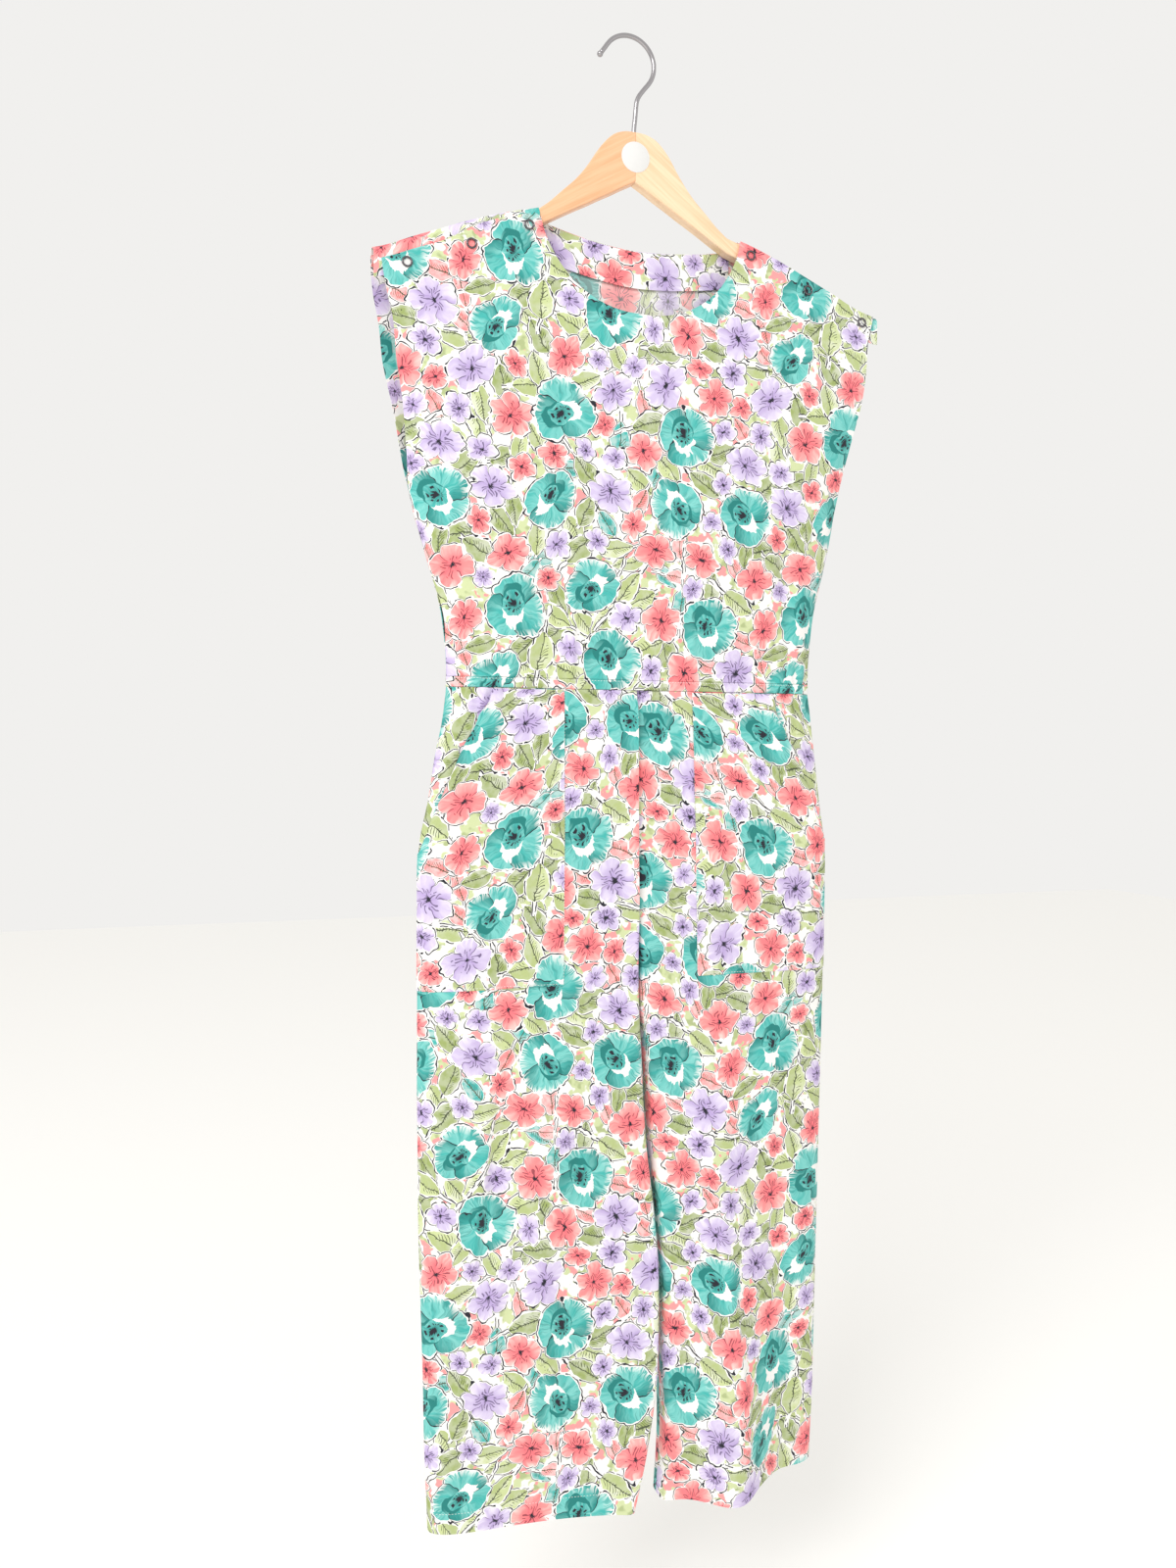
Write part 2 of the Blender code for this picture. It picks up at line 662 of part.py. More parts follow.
def pocket_grid(pocket):
    """Points of a pocket, from its front's own rows and columns, so that the two lie alike.

    Where the hand opening cuts it short, the columns are drawn in together.
    """
    side = pocket.side
    key = "left" if side < 0 else "right"
    rows = PANEL_HEIGHTS[PANEL_HEIGHTS > pocket.bottom + 4]
    z = np.concatenate([[rows[0] - 1.0], rows[1:], [pocket.bottom]])
    half = column(HIPS, key, z)
    inner = np.interp(z, [pocket.bottom, WAIST], [pocket.inner_bottom, pocket.inner_top])
    opening_z = [p[1] for p in pocket.opening][::-1]
    opening_x = [p[0] for p in pocket.opening][::-1]
    outer = np.minimum(np.interp(z, opening_z, opening_x), half)
    start_x = turn_start(side, z)
    panel = [half + (start_x * side - half) * (1 - share) for share in side_shares(FLAT_CELLS)]
    inside = [x for x in panel if np.all(x > inner + 6)] + [inner]
    x = side * np.stack([outer - (half - p) * (outer - inner) / (half - inner) for p in inside], axis=1)
    z = np.broadcast_to(z[:, None], x.shape)
    y = mix(-EDGE_Y, front_depth(side, x, z), oval(x / half[:, None], HIP_SIDE))
    grid = np.stack([x, y, z], axis=2)
    return grid if side < 0 else grid[:, ::-1]


def pockets(material):
    """Patches that lie just outside the fronts, cut slanting at the hand opening, which gapes a little."""
    made = []
    for pocket in POCKETS:
        name = "pocket_left" if pocket.side < 0 else "pocket_right"
        grid = pocket_grid(pocket)
        away = np.abs(grid[..., 0])
        inner, outer = away.min(axis=1, keepdims=True), away.max(axis=1, keepdims=True)
        gape = ((away - inner) / (outer - inner)) ** 3 * ease((grid[..., 2] - GAPE_END) / 60)
        grid = moved_out(grid, (POCKET_AWAY + POCKET_GAPE * gape)[..., None])
        made.append(cloth(name, grid, material, mirrored=pocket.side > 0))
    return made


def ring_snaps(material):
    """Open rings that lie on the front's shoulder edge, tilted with the cloth."""
    made = []
    for snap in SNAPS:
        z = snap.z + np.array([[3.0] * 3, [0.0] * 3, [-3.0] * 3])
        x = snap.x + np.array([[-3.0, 0.0, 3.0]] * 3)
        share = x / np.where(x < 0, column(BODICE, "left", z), column(BODICE, "right", z))
        patch = np.stack(bodice_point(share, z, False), axis=2)
        normal = normals(patch)[1, 1]
        centre = patch[1, 1] + normal * (CLOTH / 2 + SEAM_GAP + RING_WIRE)
        across = np.cross(normal, [0, 0, 1.0])
        across /= np.linalg.norm(across)
        up = np.cross(across, normal)
        turns = np.linspace(0, 2 * np.pi, 13)[:-1]
        round_wire = np.linspace(0, 2 * np.pi, 7)[:-1]
        turn, wire = np.meshgrid(turns, round_wire, indexing="ij")
        radius = RING_RADIUS + RING_WIRE * np.cos(wire)
        points = (
            centre
            + (radius * np.cos(turn))[..., None] * across
            + (radius * np.sin(turn))[..., None] * up
            + (RING_WIRE * np.sin(wire))[..., None] * normal
        )
        ring = mesh_object(snap.name, points.reshape(-1, 3), ring_faces(12, 6, True), material)
        made.append(turned_outwards(ring))
    return made


def ring_faces(count, sides, closed):
    """Quads between rings of points, turned outwards, with both ends filled unless they join."""
    faces = []
    for i in range(count if closed else count - 1):
        for j in range(sides):
            a, b = i * sides, (i + 1) % count * sides
            k = (j + 1) % sides
            faces.append((a + j, b + j, b + k, a + k))
    if not closed:
        faces.append(tuple(range(sides)))
        faces.append(tuple((count - 1) * sides + j for j in reversed(range(sides))))
    return faces


def turned_outwards(obj):
    """Recalculates an object's face directions so that they point out."""
    work = bmesh.new()
    work.from_mesh(obj.data)
    bmesh.ops.recalc_face_normals(work, faces=work.faces)
    work.to_mesh(obj.data)
    work.free()
    return obj


def arm_ring(away, top, bottom, thick):
    """A rounded rectangle across the arm: three points at each corner."""
    middle = (top + bottom) / 2
    half_z = (top - bottom) / 2
    half_y = thick / 2
    corner = min(WOOD_ROUND, half_z * 0.8, half_y * 0.8)
    points = []
    for sy, sz, first in ((1, 1, 0), (-1, 1, 90), (-1, -1, 180), (1, -1, 270)):
        for step in (0, 45, 90):
            angle = np.radians(first + step)
            y = sy * (half_y - corner) + corner * np.cos(angle)
            z = middle + sz * (half_z - corner) + corner * np.sin(angle)
            points.append((away, y, z))
    return points


def arm_edges(away):
    """Top and bottom of the wood: from the table near the middle, then just under the cloth."""
    if away <= ARM[-1].away:
        return float(column(ARM, "top", away, "away")), float(column(ARM, "bottom", away, "away"))
    top = float(column(SHOULDER, "z", away, "away")) - WOOD_UNDER_CLOTH
    round_end = 5.0 * ease((away - 200) / (WOOD_END - 200))
    deep = mix(ARM[-1].top - ARM[-1].bottom, ARM_DEEP, min(1, (away - ARM[-1].away) / 40))
    return top - round_end, top - deep + round_end


def hanger_arms(material, drill):
    """Two mirrored halves, joined on the hanger's middle, with the hook's hole shared between them."""
    stations = [0, 8, 16, 24, 32, 41, 50, 63, 79, 92, 104, 118, 134, 155, 174, 190, 204, 212, WOOD_END]
    made = []
    for side, name in ((-1, "hanger_arm_left"), (1, "hanger_arm_right")):
        points = []
        for away in stations:
            top, bottom = arm_edges(away)
            thick = WOOD_THICK * (0.72 if away == WOOD_END else 1)
            points += arm_ring(away, top, bottom, thick)
        points = np.array(points)
        points[:, 0] = HANGER_X + side * np.maximum(points[:, 0], SEAM_GAP / 2)
        faces = ring_faces(len(stations), 12, False)
        arm = turned_outwards(mesh_object(name, points, faces, material[side]))
        bore = arm.modifiers.new("Hook hole", "BOOLEAN")
        bore.object = drill
        bore.operation = "DIFFERENCE"
        made.append(arm)
    return made


def hole_cutter():
    """The hook's hole: a drill down the hanger's middle."""
    bpy.ops.mesh.primitive_cylinder_add(
        vertices=12,
        radius=(WIRE / 2 + SEAM_GAP) * MM,
        depth=60 * MM,
        location=(STEM_X * MM, 0, (STEM_BOTTOM - 1 + 30) * MM),
    )
    drill = bpy.context.object
    drill.name = "hook_hole_cutter"
    drill.hide_render = True
    drill.display_type = "WIRE"
    return drill


def hook_route():
    """The wire's middle line: a straight tip, round the seat, back in to the stem, and down into the wood."""
    centre = np.array([0.0, -(HOOK_RADIUS - WIRE / 2)])
    angles = np.radians(np.linspace(HOOK_START, HOOK_END, 18))
    arc = centre + HOOK_RADIUS * np.stack([np.cos(angles), np.sin(angles)], axis=1)
    outward = np.array([-np.sin(angles[0]), np.cos(angles[0])])
    tip = arc[0] + np.linspace(TIP_RUN, 0, 4)[:-1, None] * outward
    end = arc[-1]
    heading = np.array([np.sin(angles[-1]), -np.cos(angles[-1])])
    foot = np.array([STEM_X + STEM_LEAN, end[1] - 24.0])
    bend = [end, end + heading * 14, foot + [0.6, 9.0], foot]
    steps = np.linspace(0, 1, 9)[1:, None]
    weights = (1 - steps) ** 3, 3 * steps * (1 - steps) ** 2, 3 * steps**2 * (1 - steps), steps**3
    sweep = sum(weight * point for weight, point in zip(weights, bend))
    stem = np.array([[STEM_X, STEM_STRAIGHT], [STEM_X, (STEM_STRAIGHT + STEM_BOTTOM) / 2], [STEM_X, STEM_BOTTOM]])
    return np.concatenate([tip, arc, sweep, [mix(foot, stem[0], 0.5)], stem])


def hanger_hook(material):
    """A round wire along the route, with a small ball on its tip."""
    route = hook_route()
    tangent = np.gradient(route, axis=0)
    tangent /= np.linalg.norm(tangent, axis=1, keepdims=True)
    neck = np.arccos(0.9 * WIRE / 2 / BALL_RADIUS)
    turns = np.linspace(-1.4, neck, 6)
    ball = route[0] + tangent[0] * BALL_RADIUS * np.sin(turns)[:, None]
    radius = np.concatenate([BALL_RADIUS * np.cos(turns), np.full(len(route) - 1, WIRE / 2)])
    route = np.concatenate([ball, route[1:]])
    tangent = np.concatenate([np.repeat(tangent[:1], len(turns), axis=0), tangent[1:]])
    turn = np.linspace(0, 2 * np.pi, HOOK_SIDES + 1)[:-1]
    side = np.stack([tangent[:, 1], -tangent[:, 0]], axis=1)
    across = (radius[:, None] * np.cos(turn))[..., None] * side[:, None, :]
    x = route[:, None, 0] + across[..., 0]
    z = route[:, None, 1] + across[..., 1]
    y = radius[:, None] * np.sin(turn)[None, :]
    points = np.stack([x, y, z], axis=2).reshape(-1, 3)
    faces = ring_faces(len(route), HOOK_SIDES, False)
    return turned_outwards(mesh_object("hanger_hook", points, faces, material))


def hanger_sticker(material):
    """A plain round paper disc on the wood's front."""
    turn = np.linspace(0, 2 * np.pi, 25)[:-1]
    front = -(WOOD_THICK / 2 + SEAM_GAP + STICKER_THICK)
    rings = []
    for y in (front, front + STICKER_THICK):
        ring_x = HANGER_X + STICKER_RADIUS * np.cos(turn)
        ring_z = STICKER_Z + STICKER_RADIUS * np.sin(turn)
        rings.append(np.stack([ring_x, np.full(24, y), ring_z], axis=1))
    faces = ring_faces(2, 24, False)
    return turned_outwards(mesh_object("hanger_sticker", np.concatenate(rings), faces, material))


def principled(name, colour, roughness, metallic=0.0):
    material = bpy.data.materials.new(name)
    material.use_nodes = True
    shader = material.node_tree.nodes["Principled BSDF"]
    shader.inputs["Base Color"].default_value = (*colour, 1)
    shader.inputs["Roughness"].default_value = roughness
    shader.inputs["Metallic"].default_value = metallic
    return material


def main():
    for obj in list(bpy.data.objects):
        bpy.data.objects.remove(obj, do_unlink=True)
    tints = {
        "bodice_front": (0.62, 0.76, 0.70),
        "bodice_back": (0.58, 0.72, 0.68),
        "facing": (0.85, 0.60, 0.62),
        "casing_front": (0.74, 0.66, 0.82),
        "casing_back": (0.70, 0.62, 0.78),
        "fronts": (0.66, 0.78, 0.66),
        "backs": (0.60, 0.72, 0.62),
        "pockets": (0.80, 0.68, 0.74),
    }
    cotton = {name: principled("printed cotton " + name, colour, 0.85) for name, colour in tints.items()}
    steel = principled("bright steel", (0.62, 0.62, 0.63), 0.22, 1.0)
    plated = principled("plated brass ring", (0.68, 0.68, 0.68), 0.28, 1.0)
    paper = principled("white paper", (0.9, 0.9, 0.9), 0.6)
    beech = {
        -1: principled("beech left", (0.80, 0.52, 0.30), 0.45),
        1: principled("beech right", (0.85, 0.62, 0.38), 0.45),
    }
    garment = [bodice_front(cotton["bodice_front"]), bodice_back(cotton["bodice_back"])]
    garment.append(back_neck_facing(cotton["facing"]))
    garment.append(casing(False, cotton["casing_front"]))
    garment.append(casing(True, cotton["casing_back"]))
    garment += trouser_fronts(cotton["fronts"])
    garment += trouser_backs(cotton["backs"])
    garment += pockets(cotton["pockets"])
    garment += ring_snaps(plated)
    for obj in garment:
        obj.location.x = GARMENT_X * MM
    drill = hole_cutter()
    hanger_arms(beech, drill)
    hanger_hook(steel)
    hanger_sticker(paper)


main()
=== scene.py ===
"""Looks of a sleeveless floral jumpsuit on its wooden hanger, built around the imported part.

Sizes are millimetres until a mesh is made. The garment's middle line and the hanger's lie a little to the
right of the hook's seat, which is the origin. The front faces -Y. A cloth panel is a grid of points on its
middle surface, rows down and columns from left to right as its outer side is seen, thickened both ways.
"""

from collections import namedtuple

import bmesh
import bpy
import numpy as np
from mathutils import Matrix, Vector


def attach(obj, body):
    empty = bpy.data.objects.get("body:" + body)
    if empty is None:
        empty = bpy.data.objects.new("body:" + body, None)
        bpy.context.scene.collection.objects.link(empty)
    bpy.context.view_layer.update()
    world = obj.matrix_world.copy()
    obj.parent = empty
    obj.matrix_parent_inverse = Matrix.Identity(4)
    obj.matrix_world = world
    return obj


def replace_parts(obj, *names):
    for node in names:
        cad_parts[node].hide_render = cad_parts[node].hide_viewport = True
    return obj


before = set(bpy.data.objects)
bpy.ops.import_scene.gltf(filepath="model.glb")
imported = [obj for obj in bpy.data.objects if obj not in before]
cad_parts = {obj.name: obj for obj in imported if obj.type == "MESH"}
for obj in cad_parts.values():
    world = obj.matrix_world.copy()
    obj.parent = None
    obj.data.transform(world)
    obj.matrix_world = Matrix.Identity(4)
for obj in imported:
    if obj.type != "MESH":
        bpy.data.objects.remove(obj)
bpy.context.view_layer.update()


def table(columns, *rows):
    """Rows whose values are reached by their columns' names."""
    row = namedtuple("row", columns)
    return [row(*values) for values in rows]


MM = 0.001
KEYS = {-1: "left", 1: "right"}
SEAM_GAP = 0.3
CLOTH = 1.2
LAYER = CLOTH + SEAM_GAP
EDGE_Y = SEAM_GAP / 2

# Where the garment's and the hanger's centre lines lie, right of the hook's seat
GARMENT_X = 14.0
HANGER_X = 6.0
CLOTH_TO_WOOD_X = GARMENT_X - HANGER_X

# Heights
CASING_TOP = -660.0
WAIST = -670.6
CROTCH = -1005.0
FORK_START = -885.0
HEM = -1528.0

# Neck
NECK_HALF = 111.0
FRONT_NECK_LOW = -284.0
FRONT_NECK_POWER = 2.4
BACK_NECK_LOW = -211.5
BACK_NECK_POWER = 1.7
FACING_HEIGHT = 38.0
FACING_HALF = 103.0

# Top of the cloth over the hanger, by distance from the hanger's middle
SHOULDER = table(
    "away z",
    (100, -185.5), (112, -189), (134, -195), (155, -202), (174, -209), (202, -220.5), (230, -232),
    (260, -245), (284, -251.5),
)
# How far the front's edge lies below that line
FRONT_DROP = table(
    "x fall",
    (-275, 14), (-215, 15), (-170, 8), (-112, 7), (111, 2), (275, 2.5),
)
WRAP_RADIUS = 8.8
WRAP_START = 6.0
WRAP_Y = 0.6
FLAP_LENGTH = 22.0
FRONT_AT_HANGER = 9.9
BACK_AT_HANGER = 9.5
# How far below the hanger the cloth takes its own depth
HANG_FADE = 60.0

# Half widths of the bodice at the top, to either side of its middle
TOP_LEFT = 271.0
TOP_RIGHT = 274.0
TOP_MEAN = (TOP_LEFT + TOP_RIGHT) / 2

# Half widths and depths of the bodice, then of the hips, from the middle surface
BODICE = table(
    "z left right front back",
    (-180, 271, 274, 10, 9.5),
    (-250, 271, 274, 12, 10),
    (-280, 268, 267, 14, 11),
    (-320, 260, 263, 17, 12),
    (-352, 257, 258, 18, 13),
    (-394, 250, 248, 20, 14),
    (-440, 245, 238, 21, 15),
    (-485, 240, 231, 21, 15),
    (-535, 226, 220, 21, 14.5),
    (-585, 211, 208, 20, 14),
    (-625, 205, 204, 18, 13),
    (-661, 203, 203, 15, 12),
    (-672, 203, 203, 15, 12),
)
HIPS = table(
    "z left right front back",
    (-670, 203, 203, 15, 12),
    (-709, 208, 208, 17, 14),
    (-741, 214, 213, 18, 15),
    (-785, 221, 219, 19, 16),
    (-825, 229, 225, 20, 17),
    (-864, 231, 227, 20, 17),
    (-972, 231, 227, 20, 17),
    (-1058, 231, 226, 20, 17),
    (-1136, 230, 225, 20, 16),
    (-1216, 229, 224, 20, 16),
    (-1366, 224, 222, 20, 15),
    (-1450, 222, 221, 20, 14),
    (-1530, 218, 218, 19, 13),
)
# Free edges of the armholes: how far the front and back ones stand from the middle, and how much
# further out the back one is
ARMHOLES = table(
    "z front back wider",
    (-180, FRONT_AT_HANGER, BACK_AT_HANGER, 6),
    (-250, FRONT_AT_HANGER, BACK_AT_HANGER, 7),
    (-290, 13, 14, 8),
    (-330, 15, 17, 8),
    (-370, 13, 15, 7),
    (-410, 9, 10, 5),
    (-450, 4.5, 5, 3),
    (-485, EDGE_Y, EDGE_Y, 0),
    (-672, EDGE_Y, EDGE_Y, 0),
)
ARMHOLE_LOW = -485.0
ARMHOLE_FADE = 40.0
# How square a section turns at its side: closed below the armhole, open beside it, and at the hips
CLOSED_SIDE = 10
OPEN_SIDE = 8
HIP_SIDE = 9

# Inner edges of the two front legs, and how far each leg's inner half curls to the front
INNER = table(
    "z left right left_curl right_curl",
    (-670, -4, 4, 0, 0),
    (-790, -4, 4, 0, 0),
    (-940, -1, 3.5, 0, 0),
    (CROTCH, 2, 3.8, 0, 0),
    (-1030, 3.5, 9, 0, 0),
    (-1075, 6, 13, 0, 0),
    (-1145, 11, 18, 0, 0),
    (-1216, 20, 26, 1, 1),
    (-1292, 26, 32.5, 3, 2),
    (-1366, 25, 33, 7, 4),
    (-1411, 21, 33, 11, 6),
    (-1453, 13, 33, 16, 8),
    (-1490, 4, 31, 21, 10),
    (-1530, -8, 28, 26, 12),
)
PLEAT = 14.0
PLEAT_TURN = 1.0
LEG_TURN = 9.0
# Handle of a turn's curve: a share of the turn below the crotch, and a length for each front above it
TURN_HANDLE = 0.75
LEFT_HANDLE = 1.4
RIGHT_HANDLE = 2.0
# Where the right front's turn starts beneath the left one's edge, and the turn at the centre back seam
UNDER_TURN = 5.0
BACK_TURN = 3.0

# Soft ridges (negative is a trough) of the fronts, with their two ends, as they lie on the middle surface
FOLDS = table(
    "piece x0 z0 x1 z1 height width",
    ("bodice", -214, -515, -190, -668, -3.5, 9),
    ("bodice", 160, -495, 168, -600, -3.0, 10),
    ("bodice", -95, -420, -150, -640, 2.5, 26),
    ("bodice", 70, -400, 110, -640, 2.5, 28),
    ("left", -140, -940, -146, -1140, -3.0, 12),
    ("left", -147, -1140, -199, -1400, -4.0, 14),
    ("left", -90, -1060, -120, -1500, 4.0, 26),
    ("right", 95, -1100, 108, -1530, 8.0, 30),
    ("right", 165, -1180, 176, -1530, -4.0, 16),
)
# A fold fades from this far before its end to this far past it
FOLD_FADE = 30.0
# Bulge of the right leg's front that opens its hem
BULGE_X = 105.0
BULGE_WIDTH = 42.0
BULGE_HEIGHT = 26.0
BULGE_TOP = -1230.0
BULGE_POWER = 1.3
BULGE_DROP = 8.0
BULGE_DROP_TOP = -1300.0
# How far in from the left front's edge the right one still lies beneath it
UNDER_FADE = 45.0

# Gathers of the casing, faint in the middle of the front
GATHER_PITCH = 21.0
GATHER_DEPTH = 1.5
GATHER_UNEVEN = 37.0
CALM_MIDDLE = 110.0
CALM_SHARE = 0.15
CALM_OVER = 60.0

# Pockets: bottom, inner edge at top and bottom, and the points of the slanted opening
POCKETS = table(
    "side bottom inner_top inner_bottom opening",
    (-1, -974, 84, 84, [(157, -671), (173, -700), (191, -735), (205, -770), (219, -805), (231, -840)]),
    (1, -972, 58, 66, [(150, -671), (160, -700), (178, -735), (195, -770), (210, -805), (228, -840)]),
)
# The height at which the hand opening ends
GAPE_END = -850.0

# Hanger
WOOD_THICK = 14.0
WOOD_END = 217.0
# Where its rounded end begins
END_FROM = 204.0
ARM = table(
    "away top bottom",
    (0, -96.5, -147.5),
    (12, -97.5, -154),
    (24, -102.5, -161),
    (36, -114.5, -167.5),
    (50, -135.5, -175.5),
    (63, -152, -182.5),
    (79, -167.5, -191.5),
    (92, -180, -199),
    (104, -189.4, -205.5),
)
# Beyond the table the wood comes to its last depth over a length, and closes a little towards its end
ARM_DEEP = 18.0
DEEP_OVER = 40.0
CLOSE_FROM = 200.0
END_CLOSE = 5.0
WOOD_UNDER_CLOTH = 3.1
WIRE = 4.8
HOOK_RADIUS = 28.1
# The hook's arc, from its tip's side to its neck, in degrees from the right
HOOK_START = 145.0
HOOK_END = -38.0
TIP_RUN = 14.5
BALL_RADIUS = 3.1
# The stem leans by this much down to STEM_STRAIGHT, just above the wood
STEM_LEAN = 2.3
STEM_STRAIGHT = -94.0
# Below the round the wire falls this far to the stem, by a cubic curve with these two handles
NECK_FALL = 24.0
NECK_BEND = 14.0
FOOT_BEND = 0.6, 9.0
STEM_X = HANGER_X + 0.5
STEM_BOTTOM = -116.0
STICKER_RADIUS = 15.5
STICKER_Z = -122.5
STICKER_FRONT = 0.35

# Ring snaps: the ring's mean radius, and half its wire's thickness
RING_RADIUS = 4.5
RING_WIRE = 0.95
SNAPS = table(
    "name x z",
    ("snap_left_1", -123, -208.5),
    ("snap_left_2", -182, -235),
    ("snap_left_3", -246, -262),
    ("snap_right_1", 123, -206.5),
    ("snap_right_2", 192, -234.5),
    ("snap_right_3", 259, -261.5),
)

# Thickness of the cloth: one layer, the hem, and the casing; and how far a piece lies off the one below it
WALL = 0.6
HEM_WALL = 1.0
CASING_WALL = 0.9
LAID_AWAY = 0.9
# Depth of the hem, and of the turned edge of an armhole
HEM_DEEP = 21.0
TURNED_IN = 12.0
# Ripples beside the waist seam: their pitch, their height, and how far they reach
RIPPLE_PITCH = 17.0
RIPPLE_DEPTH = 1.3
RIPPLE_REACH = 34.0
RIPPLE_CALM = 0.25
# Two slower waves that make the ripples' pitch uneven: height in radians, and x over this
WIDE_SWAY, WIDE_OVER = 1.7, 31.0
NARROW_SWAY, NARROW_OVER = 0.9, 13.0
# How far edges stand off: a pocket's opening, the pleat's fold and the width it takes, the facing's foot
POCKET_GAPE = 3.2
PLEAT_LIFT = 4.5
PLEAT_NEAR = 12.0
FACING_LIFT = 1.8
# Stitches, and how far the pockets' ones lie inside the edge
STITCH_PITCH = 3.2
STITCH_LENGTH = 2.3
THREAD = 0.45
POCKET_STITCH_IN = 2.0
OPENING_STITCH_IN = 7.0
# Rounding of the wood's edges
WOOD_EDGE = 2.0
# How much rows crowd towards a bodice's top, and a leg's columns towards its side seam
ROW_CROWDING = 1.25
SEAM_CROWDING = 2.4
EVEN_SHARE = 0.25
# Cells of the grids: shoulder, half neck and height of a bodice; flat part and turn of a leg; then a
# pocket's columns, and the rows of the casing and the facing
BODICE_CELLS = 42, 70, 140
FRONT_CELLS = 60, 14
BACK_CELLS = 60, 12
POCKET_COLUMNS = 46
CASING_ROWS = 7
FACING_ROWS = 12
# Size of the print's repeat, across and down
REPEAT = np.array([330.0, 352.0])


def column(rows, key, at, along="z"):
    """A smooth curve through one column of a table, held level past its ends.

    It is a cubic Hermite curve whose slope at each row is the mean of the slopes beside it, or 0 at a turn.
    """
    rows = sorted(rows, key=lambda row: getattr(row, along))
    x = np.array([getattr(row, along) for row in rows], float)
    y = np.array([getattr(row, key) for row in rows], float)
    secant = np.diff(y) / np.diff(x)
    slope = np.concatenate([secant[:1], (secant[1:] + secant[:-1]) / 2, secant[-1:]])
    slope[1:-1] = np.where(secant[1:] * secant[:-1] > 0, slope[1:-1], 0)
    at = np.clip(np.asarray(at, float), x[0], x[-1])
    i = np.clip(np.searchsorted(x, at) - 1, 0, len(x) - 2)
    step = x[i + 1] - x[i]
    t = (at - x[i]) / step
    return (
        y[i] * (1 + 2 * t) * (1 - t) ** 2
        + slope[i] * step * t * (1 - t) ** 2
        + y[i + 1] * t**2 * (3 - 2 * t)
        + slope[i + 1] * step * t**2 * (t - 1)
    )


def ease(t):
    """A smooth step from 0 to 1: three times t squared less twice t cubed."""
    t = np.clip(t, 0, 1)
    return t * t * (3 - 2 * t)


def mix(a, b, t):
    """a, moved by the share t of the way to b."""
    return a + (b - a) * t


def shoulder(x):
    """Height of the cloth's middle surface over the hanger at x, measured from the garment's centre."""
    return column(SHOULDER, "z", np.abs(np.asarray(x) + CLOTH_TO_WOOD_X), "away")


def fold_rise(fold, x, z):
    """How far a point lies down a fold, the fold's length, and its height there.

    The height falls off across the fold as a bell: e to the minus square of the distance over the width.
    """
    run = np.array([fold.x1 - fold.x0, fold.z1 - fold.z0])
    length = np.hypot(*run)
    down = ((x - fold.x0) * run[0] + (z - fold.z0) * run[1]) / length
    across = ((x - fold.x0) * run[1] - (z - fold.z0) * run[0]) / length
    return down, length, fold.height * np.exp(-((across / fold.width) ** 2))


def folds(piece, x, z):
    """Forward push of one piece's folds: the sum of their bells, each times a smooth step at both its ends.

    One that runs to the hem doesn't fade there.
    """
    push = np.zeros(np.broadcast(x, z).shape)
    for fold in (fold for fold in FOLDS if fold.piece == piece):
        down, length, rise = fold_rise(fold, x, z)
        fade = ease((down + FOLD_FADE) / (2 * FOLD_FADE))
        if fold.z1 > HEM:
            fade = fade * ease((length + FOLD_FADE - down) / (2 * FOLD_FADE))
        push = push + rise * fade
    return push


def oval(share, power):
    """Depth of a flat tube at a share of its half width: the root of 1 less the share to a power."""
    return np.sqrt(np.clip(1 - np.abs(share) ** power, 0, 1))


def bodice_point(share, z, back):
    """Middle surface of the bodice at a share of its half width, -1 left to 1 right, and a height.

    Its depth goes from the middle's to the armhole edge's by 1 less the share to a power, and below the
    armhole by the root of that. At the top it takes the hanger's depth, and the back bends over the wood.
    """
    edge = column(ARMHOLES, "back" if back else "front", z)
    depth = column(BODICE, "back" if back else "front", z)
    half = np.where(share < 0, column(BODICE, "left", z), column(BODICE, "right", z))
    if back:
        half = half + column(ARMHOLES, "wider", z)
    x = share * half
    at_hanger = BACK_AT_HANGER if back else FRONT_AT_HANGER
    below = shoulder(x) - z
    depth = mix(at_hanger, depth, ease(below / HANG_FADE))
    closed = ease((ARMHOLE_LOW + ARMHOLE_FADE - z) / (2 * ARMHOLE_FADE))
    round_side = oval(share, CLOSED_SIDE)
    free_side = 1 - np.abs(share) ** OPEN_SIDE
    y = edge + (depth - edge) * mix(free_side, round_side, closed)
    if back:
        over = np.clip(WRAP_RADIUS - below, 0, WRAP_RADIUS)
        wrap = WRAP_Y + np.sqrt(WRAP_RADIUS**2 - over**2)
        return x, np.where(below < WRAP_RADIUS, np.minimum(y, wrap), y), z
    return x, -y - folds("bodice", x, z) * (1 - share**6) * ease(below / HANG_FADE), z


def column_shares(shoulder_cells, neck_cells):
    """Columns of the bodice: by a sine, so close together at the sides and at the neck's corners."""
    corner = NECK_HALF / TOP_MEAN
    side = corner + (1 - corner) * np.sin(np.linspace(0, np.pi / 2, shoulder_cells + 1))
    neck = corner * np.sin(np.linspace(-np.pi / 2, np.pi / 2, neck_cells + 1))
    return np.concatenate([-side[:0:-1], neck, side[1:]])


